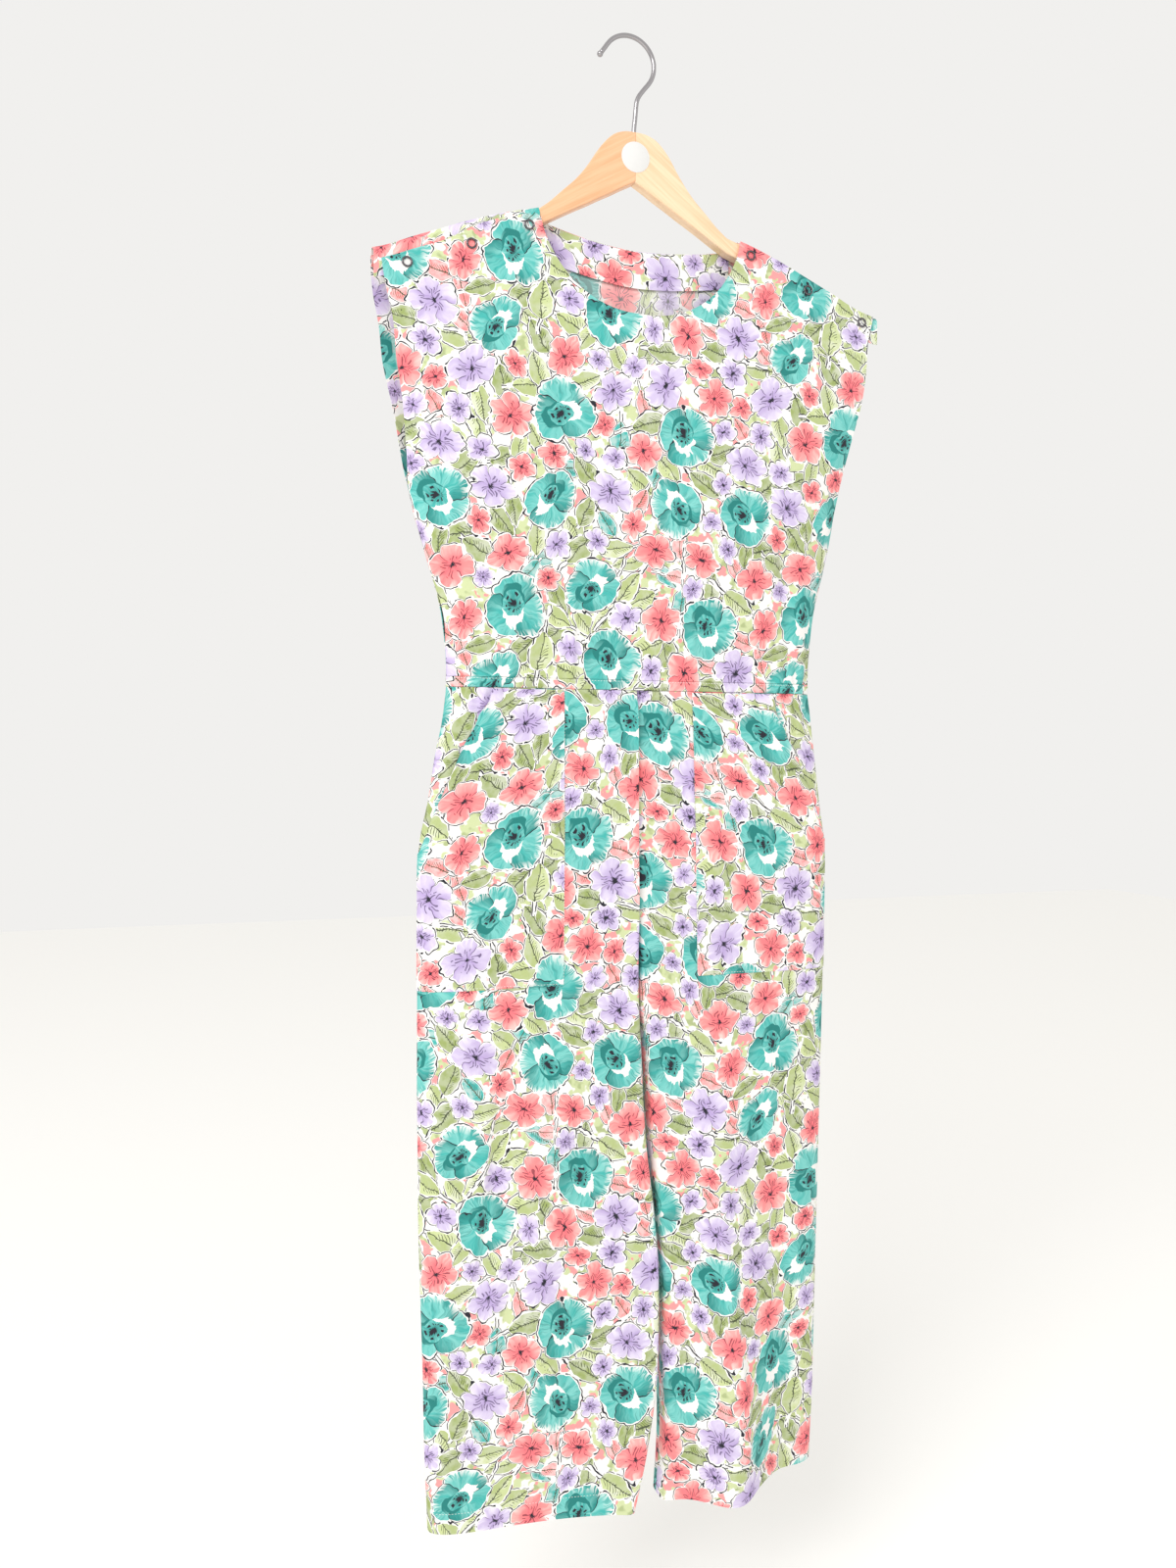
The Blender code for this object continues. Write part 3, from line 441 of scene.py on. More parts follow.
def bodice_grid(back, shoulder_cells, neck_cells, rows):
    """Points of one bodice panel from its top edge down to the casing.

    The neck rises from its lowest point to its corners by a power of the distance, and for the front by a
    rounder curve that ends upright. Rows start there and crowd towards the top.
    """
    share = column_shares(shoulder_cells, neck_cells)
    x = share * np.where(share < 0, TOP_LEFT, TOP_RIGHT)
    in_neck = np.clip(np.abs(x) / NECK_HALF, 0, 1)
    if back:
        corner = shoulder(np.sign(x) * NECK_HALF) - WRAP_START
        neck = BACK_NECK_LOW + (corner - BACK_NECK_LOW) * in_neck**BACK_NECK_POWER
        edge = shoulder(x) - WRAP_START
    else:
        fall = column(FRONT_DROP, "fall", x, "x")
        corner = shoulder(np.sign(x) * NECK_HALF) - column(FRONT_DROP, "fall", np.sign(x) * NECK_HALF, "x")
        rise = 1 - (1 - in_neck**FRONT_NECK_POWER) ** (2 / 3)
        neck = FRONT_NECK_LOW + (corner - FRONT_NECK_LOW) * rise
        edge = shoulder(x) - fall
    top = np.where(np.abs(x) < NECK_HALF - 0.01, neck, edge)
    down = np.linspace(0, 1, rows + 1) ** ROW_CROWDING
    z = top[None, :] + (CASING_TOP - top)[None, :] * down[:, None]
    share = np.broadcast_to(share, z.shape)
    x, y, z = bodice_point(share, z, back)
    grid = np.stack([x, y, z], axis=2)
    return grid[:, ::-1] if back else grid


def wrap_rows(top_row, turn_cells, flap_cells):
    """Rows that carry the back over the hanger: an arc about the wood's middle, then a straight fall."""
    start = np.arcsin((WRAP_RADIUS - WRAP_START) / WRAP_RADIUS)
    rows = []
    for angle in np.linspace(np.pi, start, turn_cells + 1)[:-1]:
        row = top_row.copy()
        row[:, 1] = WRAP_Y + WRAP_RADIUS * np.cos(angle)
        row[:, 2] = shoulder(top_row[:, 0]) - WRAP_RADIUS * (1 - np.sin(angle))
        rows.append(row)
    falls = []
    for part in range(flap_cells, 0, -1):
        row = rows[0].copy()
        row[:, 2] = row[:, 2] - FLAP_LENGTH * part / flap_cells
        falls.append(row)
    return falls + rows


def normals(grid):
    """Unit normals of a grid: the way down across the way right, so they face who sees it that way round."""
    down = np.gradient(grid, axis=0)
    right = np.gradient(grid, axis=1)
    cross = np.cross(down, right)
    return cross / np.maximum(np.linalg.norm(cross, axis=2, keepdims=True), 1e-9)


def wall_normals(grid, square):
    """Normals that stay square to an axis along the listed edges, where the wall turns to that axis."""
    normal = normals(grid)
    for edge, axis in square:
        lean = normal[edge + (axis,)]
        normal[edge + (axis,)] = np.where(np.abs(lean) < 0.8, 0, lean)
    return normal / np.linalg.norm(normal, axis=2, keepdims=True)


def moved_out(grid, distance):
    """A grid moved along its normals."""
    return grid + normals(grid) * distance


def fork(z):
    """A smooth step from 0, where the two fronts overlap, to 1, where the legs are two tubes."""
    return ease((FORK_START - z) / (FORK_START - CROTCH))


def curl(side, x, z):
    """Forward lean of a leg's inner half: the table's, times the cube of the share to its inner edge."""
    key = KEYS[side]
    inner = column(INNER, key, z)
    outer = side * column(HIPS, key, z)
    across = np.clip((x - outer) / (inner - outer), 0, 1)
    return column(INNER, key + "_curl", z) * across**3


def bulge_bell(x):
    """A bell across the right leg's bulge: e to the minus square of the distance over the width."""
    return np.exp(-(((x - BULGE_X) / BULGE_WIDTH) ** 2))


def bulge(x, z):
    """Forward bulge of the right leg: its bell, times a power of a smooth step down to the hem."""
    return BULGE_HEIGHT * bulge_bell(x) * ease((BULGE_TOP - z) / (BULGE_TOP - HEM)) ** BULGE_POWER


def front_depth(side, x, z):
    """Y of a trouser front's middle surface: the table's depth and all that pushes it forwards.

    The right front lies two layers back where the left one covers it.
    """
    y = -column(HIPS, "front", z) - folds(KEYS[side], x, z) - curl(side, x, z)
    if side > 0:
        y = y - bulge(x, z)
        under = 1 - ease((x - column(INNER, "left", z)) / UNDER_FADE)
        y = y + 2 * LAYER * under * (1 - fork(z))
    return y


def hem_drop(side, x, z):
    """How much lower the right leg's bulge hangs, all of it near the hem."""
    if side < 0:
        return 0 * z
    return BULGE_DROP * bulge_bell(x) * ease((BULGE_DROP_TOP - z) / (BULGE_DROP_TOP - HEM))


def bezier(a, b, c, d, cells):
    """Points of a cubic curve from a to d with handles b and c, without a; each is an (x, y) pair of arrays.

    It is their mean, weighted by the four terms of ((1 - t) + t) cubed.
    """
    points = []
    for t in np.linspace(0, 1, cells + 1)[1:]:
        weights = (1 - t) ** 3, 3 * t * (1 - t) ** 2, 3 * t**2 * (1 - t), t**3
        points.append(tuple(sum(w * p[k] for w, p in zip(weights, (a, b, c, d))) for k in (0, 1)))
    return points


def side_shares(cells):
    """Shares of the way from a leg's inner turn to its side seam: a power and a straight line, mixed.

    They lie close together at the seam.
    """
    s = np.linspace(0, 1, cells + 1)
    return 1 - mix(s**SEAM_CROWDING, s, EVEN_SHARE)


def as_grid(section, z):
    """Rows by height, columns by point, from a section's list of (x, y) arrays."""
    return np.array([[p[0] + 0 * z, p[1] + 0 * z, z] for p in section]).transpose(2, 0, 1)


def flat_part(side, z, start_x, depth, seam_y, cells):
    """The level part of a section, from its side seam to start_x, where its inner turn begins."""
    half = column(HIPS, KEYS[side], z)
    points = []
    for share in side_shares(cells):
        x = mix(start_x, side * half, share)
        points.append((x, mix(seam_y, depth(x), oval(np.clip(x * side / half, 0, 1), HIP_SIDE))))
    return points


def pleat_points(z):
    """Where the left front's return bends back and where it ends, as (x, y) arrays."""
    split = fork(z)
    fold_x = column(INNER, "left", z)
    fold_y = front_depth(-1, fold_x - PLEAT_TURN, z)
    seam_y = -EDGE_Y - curl(-1, fold_x, z)
    bend = mix(fold_x - 1.5, fold_x, split), mix(fold_y + LAYER, mix(fold_y, seam_y, 0.6), split)
    end = mix(fold_x - PLEAT, fold_x, split), mix(fold_y + LAYER, seam_y, split)
    return bend, end


def turn_start(side, z):
    """Where a front stops being level and its inner turn begins."""
    split = fork(z)
    fold_x = column(INNER, "left", z)
    if side < 0:
        return fold_x - mix(PLEAT_TURN, LEG_TURN, split)
    inner_x = np.where(z < CROTCH, column(INNER, "right", z), fold_x + LAYER)
    return mix(fold_x + UNDER_TURN, inner_x + LEG_TURN, split)


def front_section(side, z, cells, turn_cells):
    """One trouser front's section at each height: side seam, flat front, then its inner turn and end.

    Above the crotch the left front folds under in a flat pleat and the right one starts beneath it. Below,
    both turn round the leg's inner edge to the inseam. Between, the turn goes over from one to the other,
    and the right front's stays beside the left one's, a layer's distance or more away.
    """
    split = fork(z)
    fold_x = column(INNER, "left", z)
    start_x = turn_start(side, z)
    start_y = front_depth(side, start_x, z)
    bend, end = pleat_points(z)
    if side < 0:
        reach = mix(LEFT_HANDLE, LEG_TURN * TURN_HANDLE, split)
        handle = mix(bend[0] + 1.6, bend[0], split)
    else:
        inner_x = np.where(z < CROTCH, column(INNER, "right", z), fold_x + LAYER)
        apart = LAYER * (1 + 1.6 * np.sin(np.pi * split))
        lead, hang = apart * np.sin(split * np.pi / 2), apart * np.cos(split * np.pi / 2)
        seam_y = -EDGE_Y - curl(side, inner_x, z)
        below = z < CROTCH
        bend = (
            np.where(below, inner_x, bend[0] + lead),
            np.where(below, mix(start_y, seam_y, 0.6), bend[1] + hang),
        )
        end = np.where(below, inner_x, end[0] + lead), np.where(below, seam_y, end[1] + hang)
        reach = mix(RIGHT_HANDLE, LEG_TURN * TURN_HANDLE, split)
        handle = mix(bend[0] + RIGHT_HANDLE, bend[0], split)
    handle_a = (start_x - side * reach, start_y)
    handle_b = (handle, mix(bend[1], mix(start_y, bend[1], 0.35), split))
    section = flat_part(side, z, start_x, lambda x: front_depth(side, x, z), -EDGE_Y, cells)
    section += bezier((start_x, start_y), handle_a, handle_b, bend, turn_cells) + [end]
    grid = as_grid(section, z)
    grid = grid if side < 0 else grid[:, ::-1]
    grid[:, :, 2] -= hem_drop(side, grid[:, :, 0], grid[:, :, 2])
    return grid


def back_section(side, z, cells, turn_cells):
    """One trouser back's section at each height: side seam, flat back, then the back seam or the inseam."""
    split = fork(z)
    fold_x = column(INNER, "left", z)
    inner_x = np.where(z < CROTCH, column(INNER, KEYS[side], z), fold_x + LAYER / 2)
    lead = EDGE_Y + (LAYER / 2 - EDGE_Y) * np.sin(split * np.pi / 2) + 0.7 * np.sin(split * np.pi)
    end_x = np.where(z < CROTCH, inner_x, mix(0 * z, fold_x + LAYER / 2, split) + side * lead)
    back_y = column(HIPS, "back", z)
    turn = mix(BACK_TURN, LEG_TURN, split)
    start_x = end_x + side * turn
    start_y = back_y - curl(side, start_x, z)
    end_y = mix(back_y, EDGE_Y - curl(side, inner_x, z), split)
    handle_a = (start_x - side * turn * 0.8, start_y)
    handle_b = (mix(end_x + side, end_x, split), mix(start_y, mix(start_y, end_y, 0.3), split))
    section = flat_part(side, z, start_x, lambda x: back_y - curl(side, x, z), EDGE_Y, cells)
    section += bezier((start_x, start_y), handle_a, handle_b, (end_x, end_y), turn_cells)
    grid = as_grid(section, z)
    return grid[:, ::-1] if side < 0 else grid


def arm_edges(away):
    """Top and bottom of the wood: from the table near the middle, then just under the cloth."""
    if away <= ARM[-1].away:
        return float(column(ARM, "top", away, "away")), float(column(ARM, "bottom", away, "away"))
    top = float(column(SHOULDER, "z", away, "away")) - WOOD_UNDER_CLOTH
    round_end = END_CLOSE * ease((away - CLOSE_FROM) / (WOOD_END - CLOSE_FROM))
    deep = mix(ARM[-1].top - ARM[-1].bottom, ARM_DEEP, min(1, (away - ARM[-1].away) / DEEP_OVER))
    return top - round_end, top - deep + round_end


def hook_route():
    """The wire's middle line: a straight tip, round the seat, back in to the stem, and down into the wood."""
    centre = np.array([0.0, -(HOOK_RADIUS - WIRE / 2)])
    angles = np.radians(np.linspace(HOOK_START, HOOK_END, 18))
    arc = centre + HOOK_RADIUS * np.stack([np.cos(angles), np.sin(angles)], axis=1)
    outward = np.array([-np.sin(angles[0]), np.cos(angles[0])])
    tip = arc[0] + np.linspace(TIP_RUN, 0, 4)[:-1, None] * outward
    end = arc[-1]
    heading = np.array([np.sin(angles[-1]), -np.cos(angles[-1])])
    foot = np.array([STEM_X + STEM_LEAN, end[1] - NECK_FALL])
    bend = [end, end + heading * NECK_BEND, foot + FOOT_BEND, foot]
    steps = np.linspace(0, 1, 9)[1:, None]
    weights = (1 - steps) ** 3, 3 * steps * (1 - steps) ** 2, 3 * steps**2 * (1 - steps), steps**3
    sweep = sum(weight * point for weight, point in zip(weights, bend))
    heights = np.linspace(STEM_STRAIGHT, STEM_BOTTOM, 3)
    stem = np.stack([np.full(3, STEM_X), heights], axis=1)
    return np.concatenate([tip, arc, sweep, [mix(foot, stem[0], 0.5)], stem])


def gathers(x, away):
    """Ripples that the waist elastic leaves in the cloth: sin(x) of uneven pitch, dying out with away."""
    even = 2 * np.pi * x / RIPPLE_PITCH
    ripple = np.sin(even + WIDE_SWAY * np.sin(x / WIDE_OVER) + NARROW_SWAY * np.sin(x / NARROW_OVER))
    much = mix(RIPPLE_CALM, 1.0, ease((np.abs(x) - CALM_MIDDLE) / CALM_OVER))
    return RIPPLE_DEPTH * ripple * much * np.exp(-np.abs(away) / RIPPLE_REACH)


def circle(count):
    """Angles of points evenly round a circle."""
    return np.linspace(0, 2 * np.pi, count + 1)[:-1]


def placed(name, mesh, materials, bend):
    """Links a mesh as an object that rides on the part, smooth but for edges that turn by more than bend."""
    mesh.shade_smooth()
    mesh.set_sharp_from_angle(angle=np.radians(bend))
    for material in materials:
        mesh.materials.append(material)
    piece = bpy.data.objects.new(name, mesh)
    bpy.context.scene.collection.objects.link(piece)
    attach(piece, "root")
    return piece


def solid(name, points, faces, material):
    """A closed piece from points in millimetres and faces, which are turned outwards."""
    mesh = bpy.data.meshes.new(name)
    mesh.from_pydata((points * MM).tolist(), [], faces)
    work = bmesh.new()
    work.from_mesh(mesh)
    bmesh.ops.recalc_face_normals(work, faces=work.faces)
    work.to_mesh(mesh)
    work.free()
    return placed(name, mesh, [material], 45)


def tube_mesh(name, rings, material, closed=False):
    """A skin over rings of points, (ring, side, xyz): quads between neighbours, and ends unless closed."""
    rings = np.asarray(rings, float)
    index = np.arange(rings.shape[0] * rings.shape[1]).reshape(rings.shape[:2])
    here = index if closed else index[:-1]
    after = np.roll(index, -1, axis=0) if closed else index[1:]
    quads = np.stack([here, after, np.roll(after, -1, axis=1), np.roll(here, -1, axis=1)], axis=2)
    faces = quads.reshape(-1, 4).tolist()
    if not closed:
        faces += [index[0].tolist(), index[-1, ::-1].tolist()]
    return solid(name, rings.reshape(-1, 3), faces, material)


def run_along(grid, axis, used):
    """The length run along one way of a grid, measured in the used two coordinates."""
    step = np.diff(grid, axis=axis)[..., used]
    return np.insert(np.cumsum(np.hypot(step[..., 0], step[..., 1]), axis=axis), 0, 0, axis=axis)


def cloth_map(grid):
    """Where each point lies on the flat cloth: the length run along its row, and down its column."""
    across, down = run_along(grid, 1, [0, 1]), run_along(grid, 0, [1, 2])
    return np.stack([across - across[:, [grid.shape[1] // 2]], down - down[-1]], axis=2)


def motif_places():
    """Centres of all motifs on the repeat, as rows x, y, radius, kind, layer, pressed evenly apart.

    Each pair stands off by its reaches, and by a gap more within a layer, so that no face sees two motifs of
    one layer. The repeat joins itself at its edges. Large ones start spread out, and small ones between them.
    """
    rows = [
        (layer, kind, mix(high, low, i / max(count - 1, 1)))
        for layer, (_, kinds) in enumerate(MOTIFS.values())
        for kind, count, low, high in kinds
        for i in range(count)
    ]
    layer, kind, radius = (np.array(values, float) for values in zip(*rows))
    rng = np.random.default_rng(LAYOUT_SEED)
    spot = rng.random((len(rows), 2)) * REPEAT
    keeps = radius * np.array([TOUCH.get(name, LEAF_TOUCH) for name in MOTIFS])[layer.astype(int)]
    same = layer[:, None] == layer[None, :]
    apart = np.where(same, radius[:, None] + radius[None, :] + LAYER_GAP, keeps[:, None] + keeps[None, :])
    np.fill_diagonal(apart, 0)
    heavy = radius[None, :] ** 2 / (radius[:, None] ** 2 + radius[None, :] ** 2)
    for step in range(PRESSES):
        away = (spot[:, None] - spot[None, :] + REPEAT / 2) % REPEAT - REPEAT / 2
        far = np.maximum(np.hypot(away[..., 0], away[..., 1]), 0.01)
        push = np.maximum(apart * mix(0.5, 1, min(1, 2 * step / PRESSES)) - far, 0) * heavy * 0.5
        spot = (spot + (away / far[..., None] * push[..., None]).sum(axis=1)) % REPEAT
    return np.column_stack([spot, radius, kind, layer])


def motif_fields(faces, uv, places, seed):
    """For each corner of each face, where it lies on the face's nearest motif.

    That is (x, y) turned to the motif's own direction, in its radii, and its kind plus a seed below 1.
    """
    rng = np.random.default_rng(seed)
    turns = rng.random(len(places)) * 2 * np.pi
    seeds = rng.random(len(places)) * 0.98 + 0.01
    squash = mix(SQUASH, 1, rng.random(len(places)))
    corners = uv[faces]
    middle = corners.mean(axis=1)
    nearest = np.zeros(len(faces), int)
    least = np.full(len(faces), np.inf)
    offset = np.zeros((len(faces), 2))
    for i, (x, y, radius, *_) in enumerate(places):
        away = (middle - [x, y] + REPEAT / 2) % REPEAT - REPEAT / 2
        clear = np.hypot(away[:, 0], away[:, 1]) - radius
        closer = clear < least
        least[closer], nearest[closer], offset[closer] = clear[closer], i, away[closer]
    local = offset[:, None] + corners - middle[:, None]
    cos, sin = np.cos(turns[nearest])[:, None], np.sin(turns[nearest])[:, None]
    radius = places[nearest, 2][:, None]
    x = (local[..., 0] * cos + local[..., 1] * sin) / radius
    y = (local[..., 1] * cos - local[..., 0] * sin) / radius / squash[nearest][:, None]
    code = np.broadcast_to((places[nearest, 3] + seeds[nearest])[:, None], x.shape)
    return np.stack([x, y, code], axis=2)


# Where each piece is cut from the printed cloth. The casing is the bodice's foot turned up: its print runs on
PRINT_FROM = {
    "bodice_front": (40, 0),
    "bodice_back": (210, 140),
    "back_neck_facing": (95, 60),
    "waist_casing_front": (40, 10.3),
    "waist_casing_back": (210, 150.3),
    "trouser_front_left": (40, -55),
    "trouser_front_right": (220, 55),
    "trouser_back_left": (-100, -170),
    "trouser_back_right": (140, 170),
    "pocket_left": (-150, 80),
    "pocket_right": (150, 80),
}


def panel(node, grid, wall=WALL, keep=None, square=(), materials=None, laid=None, turned=None):
    """A cut piece: its grid moved out and in by half the wall, joined round its rim.

    It carries its place on the printed cloth as a UV map, and the print's motifs as corner attributes. laid
    is the grid before its ripples, from which that place is worked out. turned marks the cells where an edge
    is turned in, so that the right side shows inside too.
    """
    normal = wall_normals(grid, square)
    rows, columns = grid.shape[:2]
    points = np.concatenate([(grid + way * normal * wall / 2).reshape(-1, 3) for way in (1, -1)])
    flat = cloth_map(grid if laid is None else laid).reshape(-1, 2) + PRINT_FROM[node]
    uv = np.concatenate([flat, flat])
    index = np.arange(rows * columns).reshape(rows, columns)
    cells = np.stack([index[:-1, :-1], index[1:, :-1], index[1:, 1:], index[:-1, 1:]], axis=2)
    cells = cells.reshape(-1, 4) if keep is None else cells[keep]
    pairs = np.concatenate([cells[:, [i, (i + 1) % 4]] for i in range(4)])
    key, back = pairs[:, 0] * rows * columns + pairs[:, 1], pairs[:, 1] * rows * columns + pairs[:, 0]
    rim = pairs[~np.isin(key, back)]
    shift = rows * columns
    sides = np.stack([rim[:, 1], rim[:, 0], rim[:, 0] + shift, rim[:, 1] + shift], axis=1)
    faces = np.concatenate([cells, cells[:, ::-1] + shift, sides])
    used, faces = np.unique(faces, return_inverse=True)
    faces = faces.reshape(-1, 4)
    points, uv = points[used], uv[used]
    points[:, 0] += GARMENT_X
    mesh = bpy.data.meshes.new(node + "_cloth")
    mesh.vertices.add(len(points))
    mesh.vertices.foreach_set("co", (points * MM).ravel())
    mesh.loops.add(faces.size)
    mesh.loops.foreach_set("vertex_index", faces.ravel())
    mesh.polygons.add(len(faces))
    mesh.polygons.foreach_set("loop_start", np.arange(0, faces.size, 4))
    mesh.polygons.foreach_set("loop_total", np.full(len(faces), 4))
    inner = np.zeros(len(faces), int)
    shows = np.ones((rows - 1, columns - 1), int) if turned is None else 1 - turned
    inner[len(cells) : 2 * len(cells)] = shows.ravel() if keep is None else shows[keep]
    mesh.polygons.foreach_set("material_index", inner)
    mesh.update(calc_edges=True)
    layer = mesh.uv_layers.new(name="cloth")
    layer.data.foreach_set("uv", (uv[faces.ravel()] * MM).ravel())
    for field, (places, seed) in PRINT.items():
        attribute = mesh.attributes.new(field, "FLOAT_VECTOR", "CORNER")
        attribute.data.foreach_set("vector", motif_fields(faces, uv, places, seed).ravel())
    return placed(node + "_cloth", mesh, materials or (COTTON, COTTON_INSIDE), 60)


def follow(at, run, values):
    """The three columns of values at distances along their run."""
    return np.stack([np.interp(at, run, values[:, k]) for k in range(3)], axis=1)


def stitches(name, lines):
    """Thread along lines of (points, normals): tapered stitches, each of four rings of five points."""
    centre, along, up = [], [], []
    for points, normal in lines:
        run = np.concatenate([[0], np.cumsum(np.linalg.norm(np.diff(points, axis=0), axis=1))])
        at = np.arange(STITCH_PITCH / 2, run[-1], STITCH_PITCH)
        centre.append(follow(at, run, points))
        along.append(follow(at + 1, run, points) - follow(at - 1, run, points))
        up.append(follow(at, run, normal))
    centre, along, up = (np.concatenate(rows)[:, None, None] for rows in (centre, along, up))
    along /= np.linalg.norm(along, axis=-1, keepdims=True)
    up /= np.linalg.norm(up, axis=-1, keepdims=True)
    reach = np.array([-1, -0.6, 0.6, 1])[:, None, None] * STITCH_LENGTH / 2
    size = np.array([0.2, 1, 1, 0.2])[:, None] * THREAD / 2
    lift = np.array([-0.5, 0.1, 0.1, -0.5])[:, None] * THREAD
    turn = circle(5)
    rings = centre + along * reach
    rings = rings + up * (lift + size * np.cos(turn))[..., None]
    rings = rings + np.cross(along, up) * (size * np.sin(turn))[..., None]
    rings[..., 0] += GARMENT_X
    index = np.arange(rings[..., 0].size).reshape(rings.shape[:3])
    here, after = index[:, :-1], index[:, 1:]
    quads = np.stack([here, after, np.roll(after, -1, axis=2), np.roll(here, -1, axis=2)], axis=3)
    faces = quads.reshape(-1, 4).tolist() + index[:, 0].tolist() + index[:, -1, ::-1].tolist()
    return solid(name, rings.reshape(-1, 3), faces, THREAD_WHITE)


def along(grid, rows, columns, wall=WALL):
    """Points just outside a panel, and its normals there, at fractional rows and columns of its grid."""
    normal = normals(grid)
    rows, columns = np.broadcast_arrays(np.asarray(rows, float), np.asarray(columns, float))
    i = np.clip(rows.astype(int), 0, grid.shape[0] - 2)
    j = np.clip(columns.astype(int), 0, grid.shape[1] - 2)
    s, t = (rows - i)[:, None], (columns - j)[:, None]
    found = []
    for values in (grid, normal):
        top = mix(values[i, j], values[i, j + 1], t)
        low = mix(values[i + 1, j], values[i + 1, j + 1], t)
        found.append(mix(top, low, s))
    return found[0] + found[1] * wall / 2, found[1]


# Soft folds too small for the solids, by their two ends; negative is a trough
CREASES = table(
    "piece x0 z0 x1 z1 height width",
    ("front", -76, -560, -76, -672, 2.6, 3.5),
    ("front", -207, -515, -206, -632, -2.9, 5),
    ("front", 148, -462, 150, -572, 2.9, 5),
    ("front", 52, -575, 60, -668, 1.9, 5),
    ("front", -140, -610, -132, -668, -1.9, 4),
    ("front", 186, -520, 180, -640, 1.9, 6),
    ("front", -20, -600, -16, -668, -1.6, 6),
    ("back", 90, -540, 84, -668, 2.6, 5),
    ("back", -60, -570, -66, -668, -2.4, 5),
    ("back", -170, -500, -176, -640, 2.9, 6),
    ("back", 182, -480, 190, -600, -2.4, 6),
    ("left", -159, -1066, -180, -1290, 4.2, 6),
    ("left", -128, -1180, -150, -1400, -2.9, 8),
    ("left", -62, -1090, -70, -1230, -2.6, 7),
    ("left", -186, -1330, -196, -1500, 2.6, 7),
    ("left", -110, -690, -116, -790, 1.6, 6),
    ("right", 92, -1195, 123, -1505, 3.8, 7),
    ("right", 60, -1110, 70, -1330, -2.9, 8),
    ("right", 150, -1040, 158, -1240, 2.6, 7),
    ("right", 178, -1260, 186, -1450, -2.6, 6),
    ("right", 40, -700, 48, -800, -1.6, 7),
    ("left_back", -120, -900, -134, -1180, 3.5, 8),
    ("left_back", -160, -1200, -172, -1480, -3.2, 7),
    ("left_back", -70, -1120, -76, -1380, 2.6, 7),
    ("right_back", 110, -960, 124, -1230, 3.5, 8),
    ("right_back", 158, -1180, 170, -1440, -2.9, 7),
    ("right_back", 66, -1260, 74, -1500, 2.4, 6),
)


def creased(grid, piece):
    """A grid pushed out by its creases, each a half sine along its length, so that it dies at both ends."""
    push = np.zeros(grid.shape[:2])
    for fold in (fold for fold in CREASES if fold.piece == piece):
        down, length, rise = fold_rise(fold, grid[..., 0], grid[..., 2])
        push += rise * np.sin(np.pi * np.clip(down / length, 0, 1)) ** 0.7
    return moved_out(grid, push[..., None])


# Looks
def linear(code):
    """A colour's linear values from its sRGB hex code."""
    parts = np.array([int(code[i : i + 2], 16) for i in (1, 3, 5)]) / 255
    value = np.where(parts <= 0.04045, parts / 12.92, ((parts + 0.055) / 1.055) ** 2.4)
    return (*value.tolist(), 1.0)


def add(tree, kind, inputs=(), **settings):
    """Adds a node and fills its inputs, by name or in order, each with a value or from another's output."""
    node = tree.nodes.new(kind if kind.startswith("NodeGroup") else "ShaderNode" + kind)
    for key, value in settings.items():
        setattr(node, key, value)
    sockets = [s for s in node.inputs if s.enabled]
    for key, value in inputs.items() if isinstance(inputs, dict) else enumerate(inputs):
        socket = sockets[key] if isinstance(key, int) else node.inputs[key]
        if isinstance(value, bpy.types.Node):
            value = next(s for s in value.outputs if s.enabled)
        if isinstance(value, bpy.types.NodeSocket):
            tree.links.new(value, socket)
        elif value is not None:
            socket.default_value = value
    return node


def wire(tree, known, rows):
    """Adds a node for each row (name, kind, inputs...), or (name, kind, {settings}, inputs...).

    A kind in capitals is an operation of the Math node. An input is a value, an earlier row's name, or that
    name with one of its outputs, as in "place.X".
    """

    def found(value):
        if not isinstance(value, str):
            return value
        name, _, output = value.partition(".")
        return known[name].outputs[output] if output else known[name]

    for name, kind, *inputs in rows:
        settings = inputs.pop(0) if inputs and isinstance(inputs[0], dict) else {}
        if kind.isupper():
            kind, settings = "Math", {"operation": kind}
        known[name] = add(tree, kind, [found(value) for value in inputs], **settings)
    return known


def node_group(name, inputs, outputs, rows):
    """A group of nodes made from rows; its outputs are (socket name, kind, row's name)."""
    tree = bpy.data.node_groups.new(name, "ShaderNodeTree")
    for socket, kind in inputs:
        tree.interface.new_socket(socket, in_out="INPUT", socket_type="NodeSocket" + kind)
    for socket, kind, _ in outputs:
        tree.interface.new_socket(socket, in_out="OUTPUT", socket_type="NodeSocket" + kind)
    made = wire(tree, {"in": add(tree, "NodeGroupInput")}, rows)
    add(tree, "NodeGroupOutput", [made[row] for _, _, row in outputs])
    return tree


MOTIF_IN = [("Local", "Vector"), ("Wobble", "Vector"), ("Gate", "Float"), ("Line", "Float")]
MOTIF_OUT = [("Colour", "Color", "colour"), ("Cover", "Float", "cover")]
RGB = {"data_type": "RGBA"}
WHITE_GROUND = linear("#EEEDEA")
INK = linear("#1F1F2A")
TEAL, TEAL_DEEP, TEAL_LIGHT = linear("#42AFA8"), linear("#1D7B76"), linear("#80CCC5")
CORAL, CORAL_DEEP, CORAL_LIGHT = linear("#F88D8D"), linear("#EC6C76"), linear("#F8CBC4")
LILAC, LILAC_DEEP, LILAC_LIGHT = linear("#CDBFDF"), linear("#AF98CB"), linear("#E8E1F0")
LEAF, OLIVE = linear("#C6D198"), linear("#98A765")

